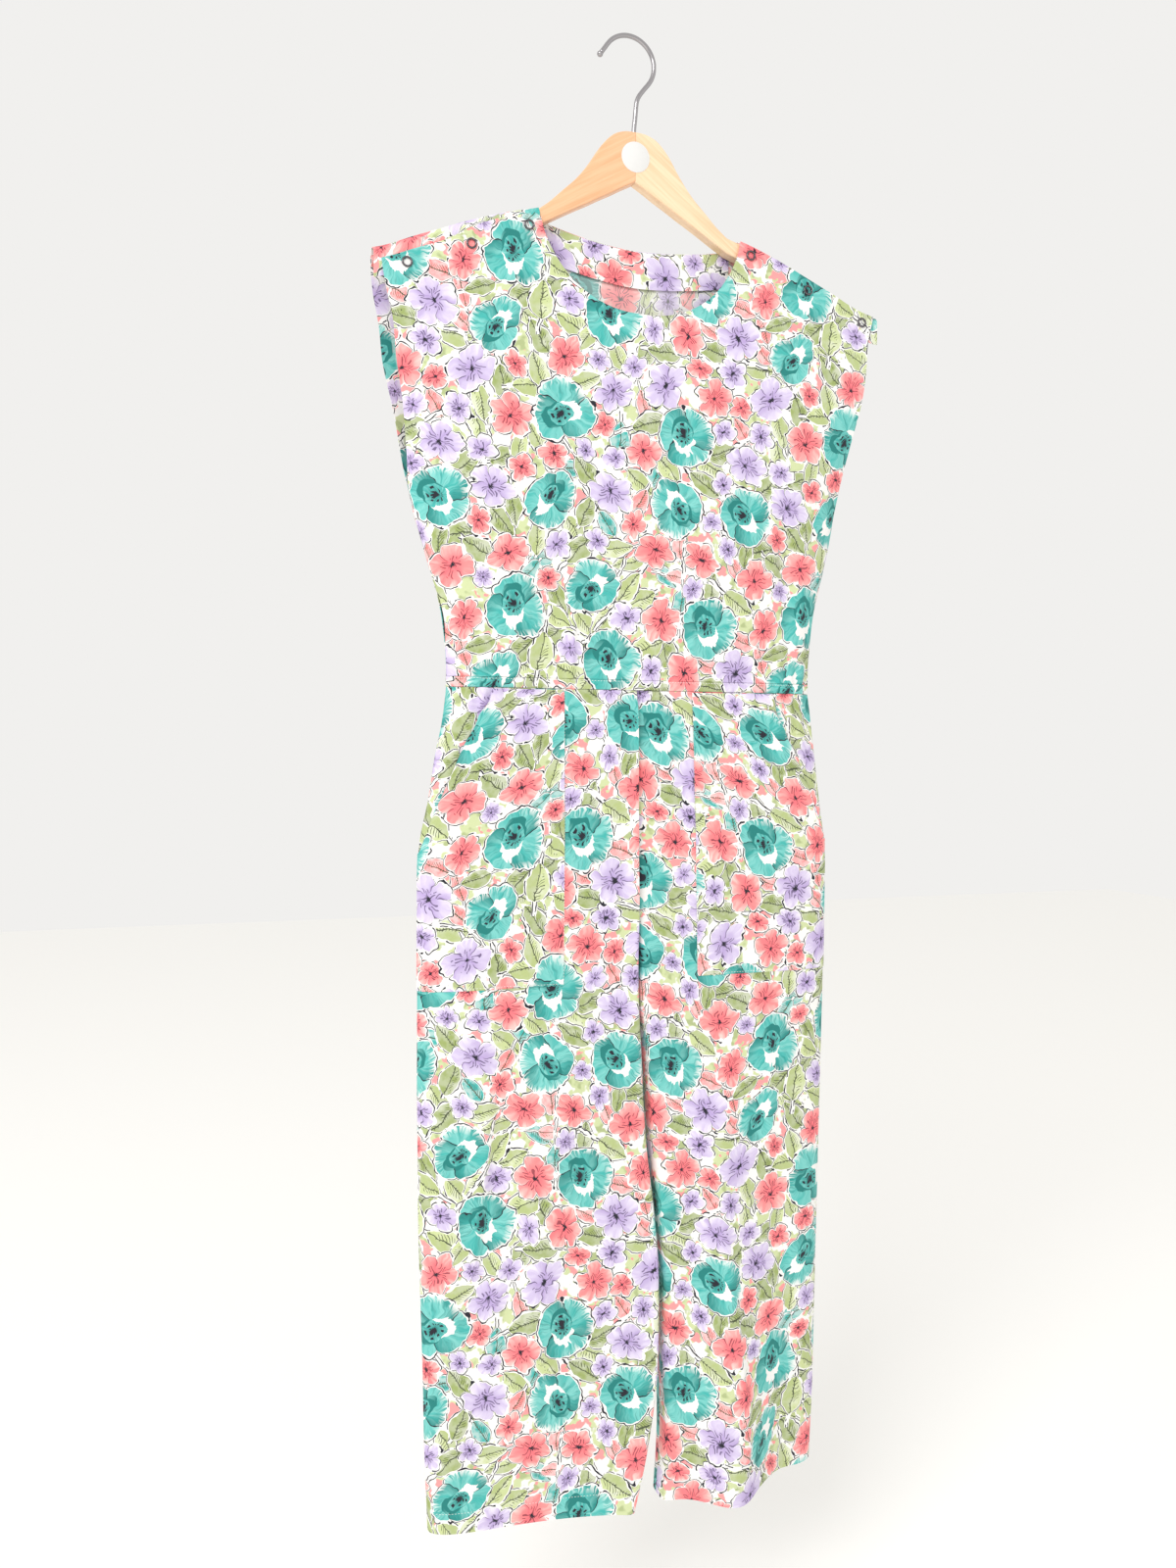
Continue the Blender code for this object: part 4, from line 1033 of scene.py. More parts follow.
# Where the eye is on a motif: its own turn and distance from the middle, in its radii
PLACE = [
    ("moved", "VectorMath", {"operation": "ADD"}, "in.Local", "in.Wobble"),
    ("at", "SeparateXYZ", "moved"),
    ("told", "SeparateXYZ", "in.Local"),
    ("kind", "FLOOR", "told.Z"),
    ("seed", "FRACT", "told.Z"),
    ("phase", "MULTIPLY", "seed", 40.0),
    ("xx", "MULTIPLY", "at.X", "at.X"),
    ("rr", "MULTIPLY_ADD", "at.Y", "at.Y", "xx"),
    ("r", "SQRT", "rr"),
    ("turn", "ARCTAN2", "at.Y", "at.X"),
    ("turned", "ADD", "turn", "phase"),
]
# Paint that runs out from the middle in streaks
STREAKS = [
    ("around", "MULTIPLY", "turned", 2.5),
    ("drawn_out", "MULTIPLY", "r", 0.45),
    ("polar", "CombineXYZ", "around", "drawn_out", "phase"),
    ("brush", "TexNoise", "polar", 1.7, 2.0),
    ("streak", "MapRange", "brush", 0.38, 0.66, 0.0, 1.0),
]
# The pen line strays about the colour's edge and breaks off in places; the ground shows between them. Its
# half width is the measure for both
PEN = [
    ("stray", "MULTIPLY_ADD", "in.Gate", 8.0, -1.2),
    ("edge_off", "DIVIDE", "out", "in.Line"),
    ("off", "SUBTRACT", "edge_off", "stray"),
    ("near", "ABSOLUTE", "off"),
    ("on_ring", "LESS_THAN", "near", 1.0),
    ("open", "GREATER_THAN", "in.Gate", 0.43),
    ("ring", "MULTIPLY", "on_ring", "open"),
    ("body", "LESS_THAN", "out", 0.0),
    ("cover", "LESS_THAN", "edge_off", 5.0),
]
# The paint inside the pen line, white between, and the line itself
INKED = [
    ("filled", "Mix", RGB, "body", WHITE_GROUND, "paint"),
    ("colour", "Mix", RGB, "ring", "filled", INK),
]
POPPY = PLACE + STREAKS + [
    # Three broad petals that curl round a bowl of smaller ones, which lies off the middle
    ("curled", "MULTIPLY_ADD", "r", 0.8, "turned"),
    ("sector", "WRAP", "curled", 1.0472, -1.0472),
    ("wide", "MULTIPLY", "sector", 1.5),
    ("bell", "COSINE", "wide"),
    ("fullness", "POWER", "bell", 0.4),
    ("turn3", "MULTIPLY_ADD", "turned", 3.0, "phase"),
    ("lobe3", "COSINE", "turn3"),
    ("round_edge", "MULTIPLY_ADD", "fullness", 0.19, 0.70),
    ("edge", "MULTIPLY_ADD", "lobe3", 0.05, "round_edge"),
    ("out", "SUBTRACT", "r", "edge"),
] + PEN + [
    ("bowl_x", "ADD", "at.X", 0.10),
    ("bowl_y", "MULTIPLY_ADD", "at.Y", 1.35, -0.10),
    ("bowl_xx", "MULTIPLY", "bowl_x", "bowl_x"),
    ("bowl_dd", "MULTIPLY_ADD", "bowl_y", "bowl_y", "bowl_xx"),
    ("bowl_d", "SQRT", "bowl_dd"),
    ("bowl_off", "SUBTRACT", "bowl_d", 0.44),
    ("bowl_near", "ABSOLUTE", "bowl_off"),
    # The bowl's lip is white along one side, ragged like the brush, and in deep shade along the other
    ("ragged", "MULTIPLY_ADD", "streak", 0.06, 0.09),
    ("glint_wide", "MULTIPLY", "ragged", "at.X"),
    ("glint_far", "MULTIPLY", "glint_wide", 3.0),
    ("glint", "LESS_THAN", "bowl_near", "glint_far"),
    ("shade_far", "MULTIPLY", "at.X", -0.20),
    ("shaded", "LESS_THAN", "bowl_near", "shade_far"),
    # Each petal dips under the next along a pen line, and catches light past it
    ("beyond", "GREATER_THAN", "bowl_d", 0.46),
    ("dips", "MapRange", "wide", 0.3, 1.5, 0.0, 0.85),
    ("dip", "MULTIPLY", "dips", "beyond"),
    ("lit", "MapRange", "wide", -0.7, -1.5, 0.0, 0.6),
    ("light", "MULTIPLY", "lit", "beyond"),
    ("from_line", "SUBTRACT", 1.5708, "wide"),
    ("line_off", "MULTIPLY", "from_line", "r"),
    ("line_near", "DIVIDE", "line_off", "in.Line"),
    ("line_on", "LESS_THAN", "line_near", 2.6),
    ("parting", "MULTIPLY", "line_on", "beyond"),
    # Rims on the low side where the brush ran dry, and bristle strokes
    ("bristles", "TexNoise", "polar", 6.5, 2.0),
    ("bristle", "MapRange", "bristles", 0.54, 0.64, 0.0, 0.45),
    ("rim", "MapRange", "out", -0.22, -0.02, 0.0, 0.9),
    ("low_side", "MapRange", "at.Y", 0.25, -0.25, 0.0, 1.0),
    ("dry_rim", "MULTIPLY", "rim", "low_side"),
    ("gaps", "MapRange", "bristles", 0.53, 0.46, 0.0, 1.0),
    ("dry", "MULTIPLY", "dry_rim", "gaps"),
    ("heart_edge", "MULTIPLY_ADD", "streak", 0.12, 0.07),
    ("heart", "LESS_THAN", "bowl_d", "heart_edge"),
    ("dots_turn", "MULTIPLY", "turned", 9.0),
    ("dots_wave", "SINE", "dots_turn"),
    ("dots_on", "GREATER_THAN", "dots_wave", 0.3),
    ("dots_ring", "COMPARE", "bowl_d", 0.24, 0.04),
    ("dots", "MULTIPLY", "dots_on", "dots_ring"),
    ("depth", "MapRange", "bowl_d", 0.05, 0.40, 0.8, 0.0),
    ("paint_a", "Mix", RGB, "streak", TEAL, TEAL_LIGHT),
    ("sunk", "Mix", RGB, "depth", "paint_a", TEAL_DEEP),
    ("stroked", "Mix", RGB, "bristle", "sunk", TEAL_DEEP),
    ("dipped", "Mix", RGB, "dip", "stroked", TEAL_DEEP),
    ("paint_b", "Mix", RGB, "dry", "dipped", WHITE_GROUND),
    ("paint_c", "Mix", RGB, "shaded", "paint_b", TEAL_DEEP),
    ("lightened", "Mix", RGB, "light", "paint_c", TEAL_LIGHT),
    ("paint_d", "Mix", RGB, "parting", "lightened", INK),
    ("paint_e", "Mix", RGB, "glint", "paint_d", WHITE_GROUND),
    ("paint_f", "Mix", RGB, "dots", "paint_e", INK),
    ("paint", "Mix", RGB, "heart", "paint_f", INK),
] + INKED
BLOOM = PLACE + STREAKS + [
    # Four or five petals, each as far out as a bulged cosine across its share of the turn
    ("chance", "WRAP", "phase", 1.0, 0.0),
    ("more", "GREATER_THAN", "chance", 0.4),
    ("halves", "MULTIPLY_ADD", "more", 0.5, 2.0),
    ("wedge", "DIVIDE", 1.5708, "halves"),
    ("wedge_back", "MULTIPLY", "wedge", -1.0),
    ("sector", "WRAP", "turned", "wedge", "wedge_back"),
    ("wide", "MULTIPLY", "sector", "halves"),
    ("bell", "COSINE", "wide"),
    ("fullness", "POWER", "bell", 0.42),
    ("edge", "MULTIPLY_ADD", "fullness", 0.40, 0.50),
    ("out", "SUBTRACT", "r", "edge"),
] + PEN + [
    ("cross", "MULTIPLY", "r", "sector"),
    ("cross_near", "ABSOLUTE", "cross"),
    ("vein_on", "LESS_THAN", "cross_near", "in.Line"),
    ("vein_out", "LESS_THAN", "r", 0.40),
    ("vein", "MULTIPLY", "vein_on", "vein_out"),
    ("petal_end", "GREATER_THAN", "wide", 1.40),
    ("petal_far", "GREATER_THAN", "r", 0.30),
    ("petal_side", "MULTIPLY", "petal_end", "petal_far"),
    ("side_off", "SUBTRACT", "cross_near", 0.11),
    ("side_near", "ABSOLUTE", "side_off"),
    ("side_on", "LESS_THAN", "side_near", "in.Line"),
    ("side_out", "COMPARE", "r", 0.38, 0.12),
    ("side_both", "MULTIPLY", "side_on", "side_out"),
    ("side", "MULTIPLY", "side_both", "open"),
    ("fine", "MAXIMUM", "vein", "side"),
    ("lines", "MAXIMUM", "fine", "petal_side"),
    ("heart_edge", "MULTIPLY_ADD", "streak", 0.12, 0.05),
    ("heart", "LESS_THAN", "r", "heart_edge"),
    ("rim", "MapRange", "out", -0.45, -0.08, 0.0, 1.0),
    ("dry", "MULTIPLY", "rim", "streak"),
    ("middle", "MapRange", "r", 0.15, 0.6, 0.75, 0.0),
    ("base", "Mix", RGB, "kind", CORAL, LILAC),
    ("pale", "Mix", RGB, "kind", CORAL_LIGHT, LILAC_LIGHT),
    ("deep", "Mix", RGB, "kind", CORAL_DEEP, LILAC_DEEP),
    ("paint_a", "Mix", RGB, "dry", "base", "pale"),
    ("dips", "MapRange", "wide", 0.5, 1.5, 0.0, 0.8),
    ("dipped", "Mix", RGB, "dips", "paint_a", "deep"),
    ("paint_b", "Mix", RGB, "middle", "dipped", "deep"),
    ("line_tint", "Mix", RGB, 0.6, "deep", INK),
    ("paint_c", "Mix", RGB, "lines", "paint_b", "line_tint"),
    ("paint", "Mix", RGB, "heart", "paint_c", INK),
] + INKED
LEAFLET = PLACE + [
    # A blade along x whose half width is a power of what is left of the ellipse, fuller towards its stalk
    ("left_over", "SUBTRACT", 1.0, "xx"),
    ("inside", "MAXIMUM", "left_over", 0.0),
    ("taper", "POWER", "inside", 0.75),
    ("fuller", "MULTIPLY_ADD", "at.X", -0.14, 0.62),
    ("half", "MULTIPLY", "taper", "fuller"),
    ("side", "ABSOLUTE", "at.Y"),
    ("out", "SUBTRACT", "side", "half"),
] + PEN + [
    ("rib_on", "LESS_THAN", "side", "in.Line"),
    ("slant", "MULTIPLY_ADD", "side", -0.9, "at.X"),
    ("spaced", "MULTIPLY_ADD", "slant", 5.5, "phase"),
    ("hatch", "FRACT", "spaced"),
    ("hatch_on", "LESS_THAN", "hatch", 0.24),
    ("reach", "MULTIPLY", "half", 0.62),
    ("beside", "LESS_THAN", "side", "reach"),
    ("upper", "GREATER_THAN", "at.Y", -0.10),
    ("one_half", "MULTIPLY", "beside", "upper"),
    ("hatched", "MULTIPLY", "hatch_on", "one_half"),
    ("hatched_open", "MULTIPLY", "hatched", "open"),
    ("lines", "MAXIMUM", "rib_on", "hatched_open"),
    ("wash", "TexNoise", "in.Local", 1.7, 2.0),
    ("streak", "MapRange", "wash", 0.4, 0.6, 0.0, 1.0),
    ("is_olive", "GREATER_THAN", "kind", 0.5),
    ("is_coral", "GREATER_THAN", "kind", 1.5),
    ("is_teal", "GREATER_THAN", "kind", 2.5),
    ("green", "Mix", RGB, "is_olive", LEAF, OLIVE),
    ("warm", "Mix", RGB, "is_coral", "green", CORAL),
    ("base", "Mix", RGB, "is_teal", "warm", TEAL),
    ("paled", "Mix", RGB, 0.45, "base", WHITE_GROUND),
    ("paint_a", "Mix", RGB, "streak", "base", "paled"),
    ("dark_half", "MapRange", "at.Y", 0.08, -0.12, 0.0, 0.5),
    ("green_only", "SUBTRACT", 1.0, "is_coral"),
    ("dark_green", "MULTIPLY", "dark_half", "green_only"),
    ("paint_b", "Mix", RGB, "dark_green", "paint_a", OLIVE),
    ("pen", "Mix", RGB, 0.2, INK, OLIVE),
    ("paint", "Mix", RGB, "lines", "paint_b", "pen"),
] + INKED


def print_group():
    """The whole print: white ground, then leaves in three layers, small blooms, large blooms and poppies."""
    shapes = {
        "poppies": node_group("poppy", MOTIF_IN, MOTIF_OUT, POPPY),
        "blooms": node_group("bloom", MOTIF_IN, MOTIF_OUT, BLOOM),
        "leaves": node_group("leaf", MOTIF_IN, MOTIF_OUT, LEAFLET),
    }
    rows = [
        ("uv", "UVMap", {"uv_map": "cloth"}),
        ("shake", "TexNoise", "uv", 85.0, 1.0),
        ("shake_mid", "VectorMath", {"operation": "SUBTRACT"}, "shake.Color", (0.5, 0.5, 0.5)),
        ("gate", "TexNoise", "uv", 95.0, 1.0),
    ]
    # Between the motifs the ground is washed with leaf green in patches
    rows += [
        ("patches", "TexNoise", "uv", 58.0, 2.0),
        ("wash", "MapRange", "patches", 0.47, 0.50, 0.0, 0.9),
        ("darker", "MapRange", "gate", 0.50, 0.60, 0.0, 0.8),
        ("tints", "SeparateXYZ", "patches.Color"),
        ("rosy", "GREATER_THAN", "tints.Y", 0.55),
        ("leafy", "Mix", RGB, "darker", LEAF, OLIVE),
        ("blend", "Mix", RGB, "rosy", "leafy", CORAL),
        ("ground", "Mix", RGB, "wash", WHITE_GROUND, "blend"),
    ]
    below = "ground"
    # Layer, its shape, how far its edge strays, half the pen line's width, both in its radii
    for layer, shape, stray, line in (
        ("leaves_under", "leaves", 0.20, 0.033),
        ("leaves_between", "leaves", 0.20, 0.033),
        ("leaves", "leaves", 0.20, 0.033),
        ("small_blooms", "blooms", 0.28, 0.037),
        ("blooms", "blooms", 0.24, 0.024),
        ("poppies", "poppies", 0.14, 0.017),
    ):
        place, wobble, motif = layer + "_place", layer + "_wobble", layer + "_motif"
        wide = (stray * 2, stray * 2, 0.0)
        rows += [
            (place, "Attribute", {"attribute_name": layer}),
            (wobble, "VectorMath", {"operation": "MULTIPLY"}, "shake_mid", wide),
            (motif, "Group", {"node_tree": shapes[shape]}, place + ".Vector", wobble, "gate", line),
            (layer, "Mix", RGB, motif + ".Cover", below, motif + ".Colour"),
        ]
        below = layer
    return node_group("floral print", [], [("Colour", "Color", "poppies")], rows)


def shader(name, rows, inputs):
    """A material whose nodes are rows and whose shader takes inputs by name."""
    material = bpy.data.materials.new(name)
    material.use_nodes = True
    tree = material.node_tree
    tree.nodes.clear()
    known = wire(tree, {}, rows)
    inputs = {key: known[value] if isinstance(value, str) else value for key, value in inputs.items()}
    add(tree, "OutputMaterial", {"Surface": add(tree, "BsdfPrincipled", inputs)})
    return material


PRINT_NODES = print_group()
# Crumples too small to be shaped, a few centimetres apart
CLOTH_BUMP = [
    ("flat", "UVMap", {"uv_map": "cloth"}),
    ("crumple", "TexNoise", "flat", 28.0, 3.0),
    ("rumple", "Bump", 0.35, 0.003, None, "crumple"),
]
# Printed cotton poplin: plain woven, matt, its colour strong on the right side
COTTON = shader(
    "printed cotton poplin",
    [("print", "Group", {"node_tree": PRINT_NODES})] + CLOTH_BUMP,
    {"Base Color": "print", "Roughness": 0.88, "Normal": "rumple", "Sheen Weight": 0.08},
)
# The wrong side: the same print seen through the cloth, paler
COTTON_INSIDE = shader(
    "printed cotton poplin wrong side",
    [
        ("print", "Group", {"node_tree": PRINT_NODES}),
        ("paled", "Mix", RGB, 0.25, "print", WHITE_GROUND),
    ] + CLOTH_BUMP,
    {"Base Color": "paled", "Roughness": 0.9, "Normal": "rumple"},
)
# Spun polyester sewing thread, white
THREAD_WHITE = shader("white sewing thread", [], {"Base Color": linear("#E9E8E4"), "Roughness": 0.7})
# Ring snaps' metal, smooth: far darker than bright nickel, partly a dark tarnished metal and partly painted
# shade that falls on the ring
RING_METAL = shader(
    "dark ring metal with painted shade", [], {"Base Color": linear("#6A6569"), "Roughness": 0.3, "Metallic": 1.0}
)
# Steel wire with bright zinc plate, drawn, so a little blurred
HOOK_METAL = shader(
    "bright zinc plated steel", [], {"Base Color": linear("#A9A6A8"), "Roughness": 0.24, "Metallic": 1.0}
)
# Uncoated label paper
PAPER = shader("white label paper", [], {"Base Color": linear("#DEDDDB"), "Roughness": 0.65})
# Length, width and depth of a streak of the grain, in metres
GRAIN = (0.08, 0.005, 0.003)


def beech(name, tone, dark, tilt):
    """Varnished beech, its fine straight grain along the arm, which slopes by tilt degrees."""
    turn = (0.0, np.radians(tilt), 0.0)
    rows = [
        ("place", "TexCoord"),
        ("laid", "Mapping", {"vector_type": "TEXTURE"}, "place.Object", None, turn, GRAIN),
        ("grain", "TexNoise", "laid", 1.0, 4.0, 0.6),
        ("share", "MapRange", "grain", 0.38, 0.66, 0.0, 1.0),
        ("tint", "Mix", RGB, "share", linear(tone), linear(dark)),
    ]
    varnish = {"Coat Weight": 0.3, "Coat Roughness": 0.25}
    return shader(name, rows, {"Base Color": "tint", "Roughness": 0.42, **varnish})


# The pieces
# Edges of a grid, with the axis to which the wall turns there: its first and last columns, and its rows
SIDES = [((slice(None), 0), 1), ((slice(None), -1), 1)]
HEAD = [((0, slice(None)), 2)]
FOOT = [((-1, slice(None)), 2)]

# Layers from the top down: seed of their turns, and kind, count, least and greatest radius of each sort
MOTIFS = {
    "poppies": (12, [(0, 10, 33.5, 37)]),
    "blooms": (24, [(1, 7, 26, 29), (0, 11, 23, 26)]),
    "small_blooms": (38, [(0, 9, 15, 17), (1, 18, 13, 18.5)]),
    "leaves": (42, [(0, 9, 17, 20), (1, 7, 16, 19), (2, 4, 14, 16), (3, 2, 14, 16)]),
    "leaves_between": (48, [(1, 9, 17, 20), (0, 8, 16, 19), (2, 4, 14, 16), (3, 3, 14, 16)]),
    "leaves_under": (54, [(0, 10, 17, 20), (1, 8, 16, 19), (2, 3, 14, 16), (3, 3, 14, 16)]),
}
LAYOUT_SEED = 7
PRESSES = 400
# How much of its radius each layer keeps from the others, and the gap between two motifs of one layer
TOUCH = {"poppies": 0.88, "blooms": 0.88, "small_blooms": 0.86}
LEAF_TOUCH = 0.54
LAYER_GAP = 5.0
# The flattest that a motif is seen
SQUASH = 0.74


def print_layout():
    """Each layer's motifs and the seed of their turns."""
    places = motif_places()
    return {name: (places[places[:, 4] == i], seed) for i, (name, (seed, _)) in enumerate(MOTIFS.items())}


PRINT = print_layout()


def hem_walls(grid):
    """Wall of a panel that is turned up at its foot: thicker over the hem."""
    rise = grid[..., 2] - grid[-1:, :, 2]
    return mix(HEM_WALL, WALL, ease((rise - HEM_DEEP + 1) / 2))


def with_gathers(grid, seam_z):
    """A grid pushed along its normals by the gathers of the waist seam at seam_z."""
    return moved_out(grid, gathers(grid[..., 0], grid[..., 2] - seam_z)[..., None])


def bodice_front():
    """The front's points."""
    return creased(with_gathers(bodice_grid(False, *BODICE_CELLS), CASING_TOP), "front")


def bodice_back():
    """The back's points with the extensions over the hanger, and which cells are cloth: none in the neck."""
    main = creased(with_gathers(bodice_grid(True, *BODICE_CELLS), CASING_TOP), "back")
    extra = np.array(wrap_rows(main[0], 14, 6))
    keep = np.ones((len(extra) + main.shape[0] - 1, main.shape[1] - 1), bool)
    middle = (main[0, 1:, 0] + main[0, :-1, 0]) / 2
    keep[: len(extra), np.abs(middle) < NECK_HALF] = False
    return np.concatenate([extra, main]), keep


def facing_grid():
    """A curved strip that lies inside the back from its neckline down."""
    x = np.linspace(-1, 1, 61) * FACING_HALF
    corner = shoulder(np.sign(x) * NECK_HALF) - WRAP_START
    edge = BACK_NECK_LOW + (corner - BACK_NECK_LOW) * np.abs(x / NECK_HALF) ** BACK_NECK_POWER - 1
    z = edge[None, :] - np.linspace(0, FACING_HEIGHT, FACING_ROWS)[:, None]
    x, y, z = bodice_point(np.broadcast_to(x / TOP_MEAN, z.shape), z, True)
    down = np.linspace(0, 1, FACING_ROWS)[:, None, None]
    return moved_out(np.stack([x, y, z], axis=2)[:, ::-1], -LAID_AWAY - FACING_LIFT * down**3)


def casing_grid(back):
    """The strip over the waist elastic: ripples across it, shallow in the middle of the front."""
    rows = np.linspace(CASING_TOP - SEAM_GAP, WAIST + SEAM_GAP / 2, CASING_ROWS)
    turn = np.linspace(-1, 1, 261)
    share, z = np.meshgrid(np.sign(turn) * (1 - (1 - np.abs(turn)) ** 1.25), rows)
    x, y, z = bodice_point(share, z, back)
    ripple = np.sin(2 * np.pi * x / GATHER_PITCH + 1.3 * np.sin(x / GATHER_UNEVEN))
    much = 1.0 if back else mix(CALM_SHARE, 1.0, ease((np.abs(x) - CALM_MIDDLE) / CALM_OVER))
    fade = 1 - np.abs(share) ** 12
    across = np.sin(np.linspace(0, np.pi, CASING_ROWS))[:, None]
    y = y + GATHER_DEPTH * ripple * much * fade * mix(0.4, 1.0, across)
    y = y - (-1 if back else 1) * across * 0.9
    grid = np.stack([x, y, z], axis=2)
    laid = np.stack([x, 0 * y, z], axis=2)
    return (grid[:, ::-1], laid[:, ::-1]) if back else (grid, laid)


# Heights of a leg's rows, closer together over the hem
HEM_ROWS_FROM = HEM + 24
LEG_ROWS = np.concatenate(
    [np.linspace(WAIST - SEAM_GAP, HEM_ROWS_FROM, 200), np.linspace(HEM_ROWS_FROM, HEM, 10)[1:]]
)


def front_grid(side):
    """A trouser front; the folded edge of the left one's pleat stands a little off the right front."""
    grid = creased(with_gathers(front_section(side, LEG_ROWS, *FRONT_CELLS), WAIST), KEYS[side])
    if side < 0:
        z = grid[..., 2]
        near = ease((grid[..., 0] - column(INNER, "left", z) + PLEAT_NEAR) / PLEAT_NEAR)
        grid[..., 1] -= PLEAT_LIFT * near * ease((WAIST - z) / 25) * (1 - 0.6 * fork(z))
    return grid


FRONT_LEGS = {side: front_grid(side) for side in KEYS}
BACK_LEGS = {
    side: creased(with_gathers(back_section(side, LEG_ROWS, *BACK_CELLS), WAIST), key + "_back")
    for side, key in KEYS.items()
}


def pocket_grid(pocket):
    """A pocket's points, on its front's own surface, moved out by a layer and more along the hand opening."""
    side = pocket.side
    top = WAIST - 1.3
    z = np.concatenate([np.linspace(top, GAPE_END, 60), np.linspace(GAPE_END, pocket.bottom, 30)[1:]])
    half = column(HIPS, KEYS[side], z)
    inner = np.interp(z, [pocket.bottom, WAIST], [pocket.inner_bottom, pocket.inner_top])
    opening_x, opening_z = zip(*pocket.opening[::-1])
    outer = np.minimum(np.interp(z, opening_z, opening_x), half)
    share = side_shares(POCKET_COLUMNS)
    x = side * (inner[:, None] + (outer - inner)[:, None] * share)
    z = np.broadcast_to(z[:, None], x.shape)
    y = mix(-EDGE_Y, front_depth(side, x, z), oval(x / half[:, None], HIP_SIDE))
    grid = np.stack([x, y, z], axis=2)
    grid = grid if side < 0 else grid[:, ::-1]
    grid = creased(with_gathers(grid, WAIST), KEYS[side])
    away = np.abs(grid[..., 0])
    low, high = away.min(axis=1, keepdims=True), away.max(axis=1, keepdims=True)
    gape = ((away - low) / (high - low)) ** 3 * ease((grid[..., 2] - GAPE_END) / 60)
    return moved_out(grid, (LAID_AWAY + POCKET_GAPE * gape)[..., None])


def turned_sides(grid):
    """Cells of a bodice within the turned edge of its armholes, 1, and all others, 0."""
    middle = (grid[1:, 1:] + grid[:-1, :-1]) / 2
    edge = np.abs(np.where(middle[..., 0] < 0, grid[1:, :1, 0], grid[1:, -1:, 0]))
    side = np.abs(grid[1:, [0, -1], 0]).min(axis=1, keepdims=True)
    near = np.abs(middle[..., 0]) > np.minimum(edge, 1.2 * side) - TURNED_IN
    return (near & (middle[..., 2] > ARMHOLE_LOW)).astype(int)


def turned_hem(grid):
    """Cells of a trouser leg within its turned hem, 1, and all others, 0."""
    return (grid[1:, 1:, 2] < grid[-1:, 1:, 2] + HEM_DEEP).astype(int)


def cloth_pieces():
    """Every cut piece, from its grid and what is special about it."""
    front, (back, kept) = bodice_front(), bodice_back()
    pieces = {
        "bodice_front": (front, {"square": SIDES + FOOT, "turned": turned_sides(front)}),
        "bodice_back": (back, {"keep": kept, "square": SIDES + FOOT, "turned": turned_sides(back)}),
        # The facing shows its wrong side to the cloth and its right side inwards
        "back_neck_facing": (facing_grid(), {"materials": (COTTON_INSIDE, COTTON)}),
    }
    for node, at_back in (("waist_casing_front", False), ("waist_casing_back", True)):
        grid, laid = casing_grid(at_back)
        pieces[node] = grid, {"wall": CASING_WALL, "square": SIDES + HEAD + FOOT, "laid": laid}
    for side, key in KEYS.items():
        for name, legs in (("trouser_front_", FRONT_LEGS), ("trouser_back_", BACK_LEGS)):
            grid = legs[side]
            wall = hem_walls(grid)[..., None]
            pieces[name + key] = grid, {"wall": wall, "square": SIDES + HEAD, "turned": turned_hem(grid)}
    pieces.update({"pocket_" + KEYS[pocket.side]: (pocket_grid(pocket), {}) for pocket in POCKETS})
    made = {node: panel(node, grid, **options) for node, (grid, options) in pieces.items()}
    for node, piece in made.items():
        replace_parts(piece, node)
    return made


def rounded_arm(side, material):
    """One half of the hanger: rounded sections along the arm, closing to a rounded end."""
    end = WOOD_END - END_FROM
    swing = np.sin(np.linspace(0, np.pi / 2, 14))[1:]
    stations = np.concatenate([np.linspace(0, END_FROM, 103), END_FROM + end * swing])
    turn = circle(40)
    cos, sin = np.cos(turn), np.sin(turn)
    # The flats of a section end in its rounded corners, by a steep ramp in place of a jump
    flat_y, flat_z = (np.sign(values) * np.minimum(1, np.abs(values) * 6) for values in (cos, sin))
    rings = []
    for away in stations:
        top, bottom = arm_edges(away)
        close = np.sqrt(max(0.0, 1 - ((away - END_FROM) / (end + 0.4)) ** 2)) if away > END_FROM else 1
        half_y, half_z = WOOD_THICK / 2 * mix(0.6, 1, close), (top - bottom) / 2 * mix(0.5, 1, close)
        corner = min(WOOD_EDGE, half_z * 0.8, half_y * 0.8)
        y = (half_y - corner) * flat_y + corner * cos
        z = (top + bottom) / 2 + (half_z - corner) * flat_z + corner * sin
        rings.append(np.stack([0 * y + HANGER_X + side * max(away, SEAM_GAP / 2), y, z], axis=1))
    return tube_mesh(f"hanger_arm_{KEYS[side]}_wood", rings, material)


def hook_wire():
    """The steel wire: round sections along a smooth route, its tip a small ball with a neck behind it."""
    coarse = hook_route()
    run = np.concatenate([[0], np.cumsum(np.hypot(*np.diff(coarse, axis=0).T))])
    known = table("run x z", *([away, *point] for away, point in zip(run, coarse)))
    neck = np.arccos(0.9 * WIRE / 2 / BALL_RADIUS)
    at = np.linspace(BALL_RADIUS * np.sin(neck) + 0.3, run[-1], 220)
    route = np.stack([column(known, "x", at, "run"), column(known, "z", at, "run")], axis=1)
    tangent = np.gradient(route, axis=0)
    tangent /= np.linalg.norm(tangent, axis=1, keepdims=True)
    turns = np.linspace(-np.pi / 2, neck, 16)
    ball = coarse[0] + tangent[0] * BALL_RADIUS * np.sin(turns)[:, None]
    radius = np.concatenate([BALL_RADIUS * np.maximum(np.cos(turns), 0.05), np.full(len(route), WIRE / 2)])
    route = np.concatenate([ball, route])
    tangent = np.concatenate([np.repeat(tangent[:1], len(turns), axis=0), tangent])
    turn = circle(24)
    side = np.stack([tangent[:, 1], -tangent[:, 0]], axis=1)
    across = route[:, None] + (radius[:, None] * np.cos(turn))[..., None] * side[:, None]
    rings = np.stack([across[..., 0], radius[:, None] * np.sin(turn), across[..., 1]], axis=2)
    return tube_mesh("hanger_hook_wire", rings, HOOK_METAL)


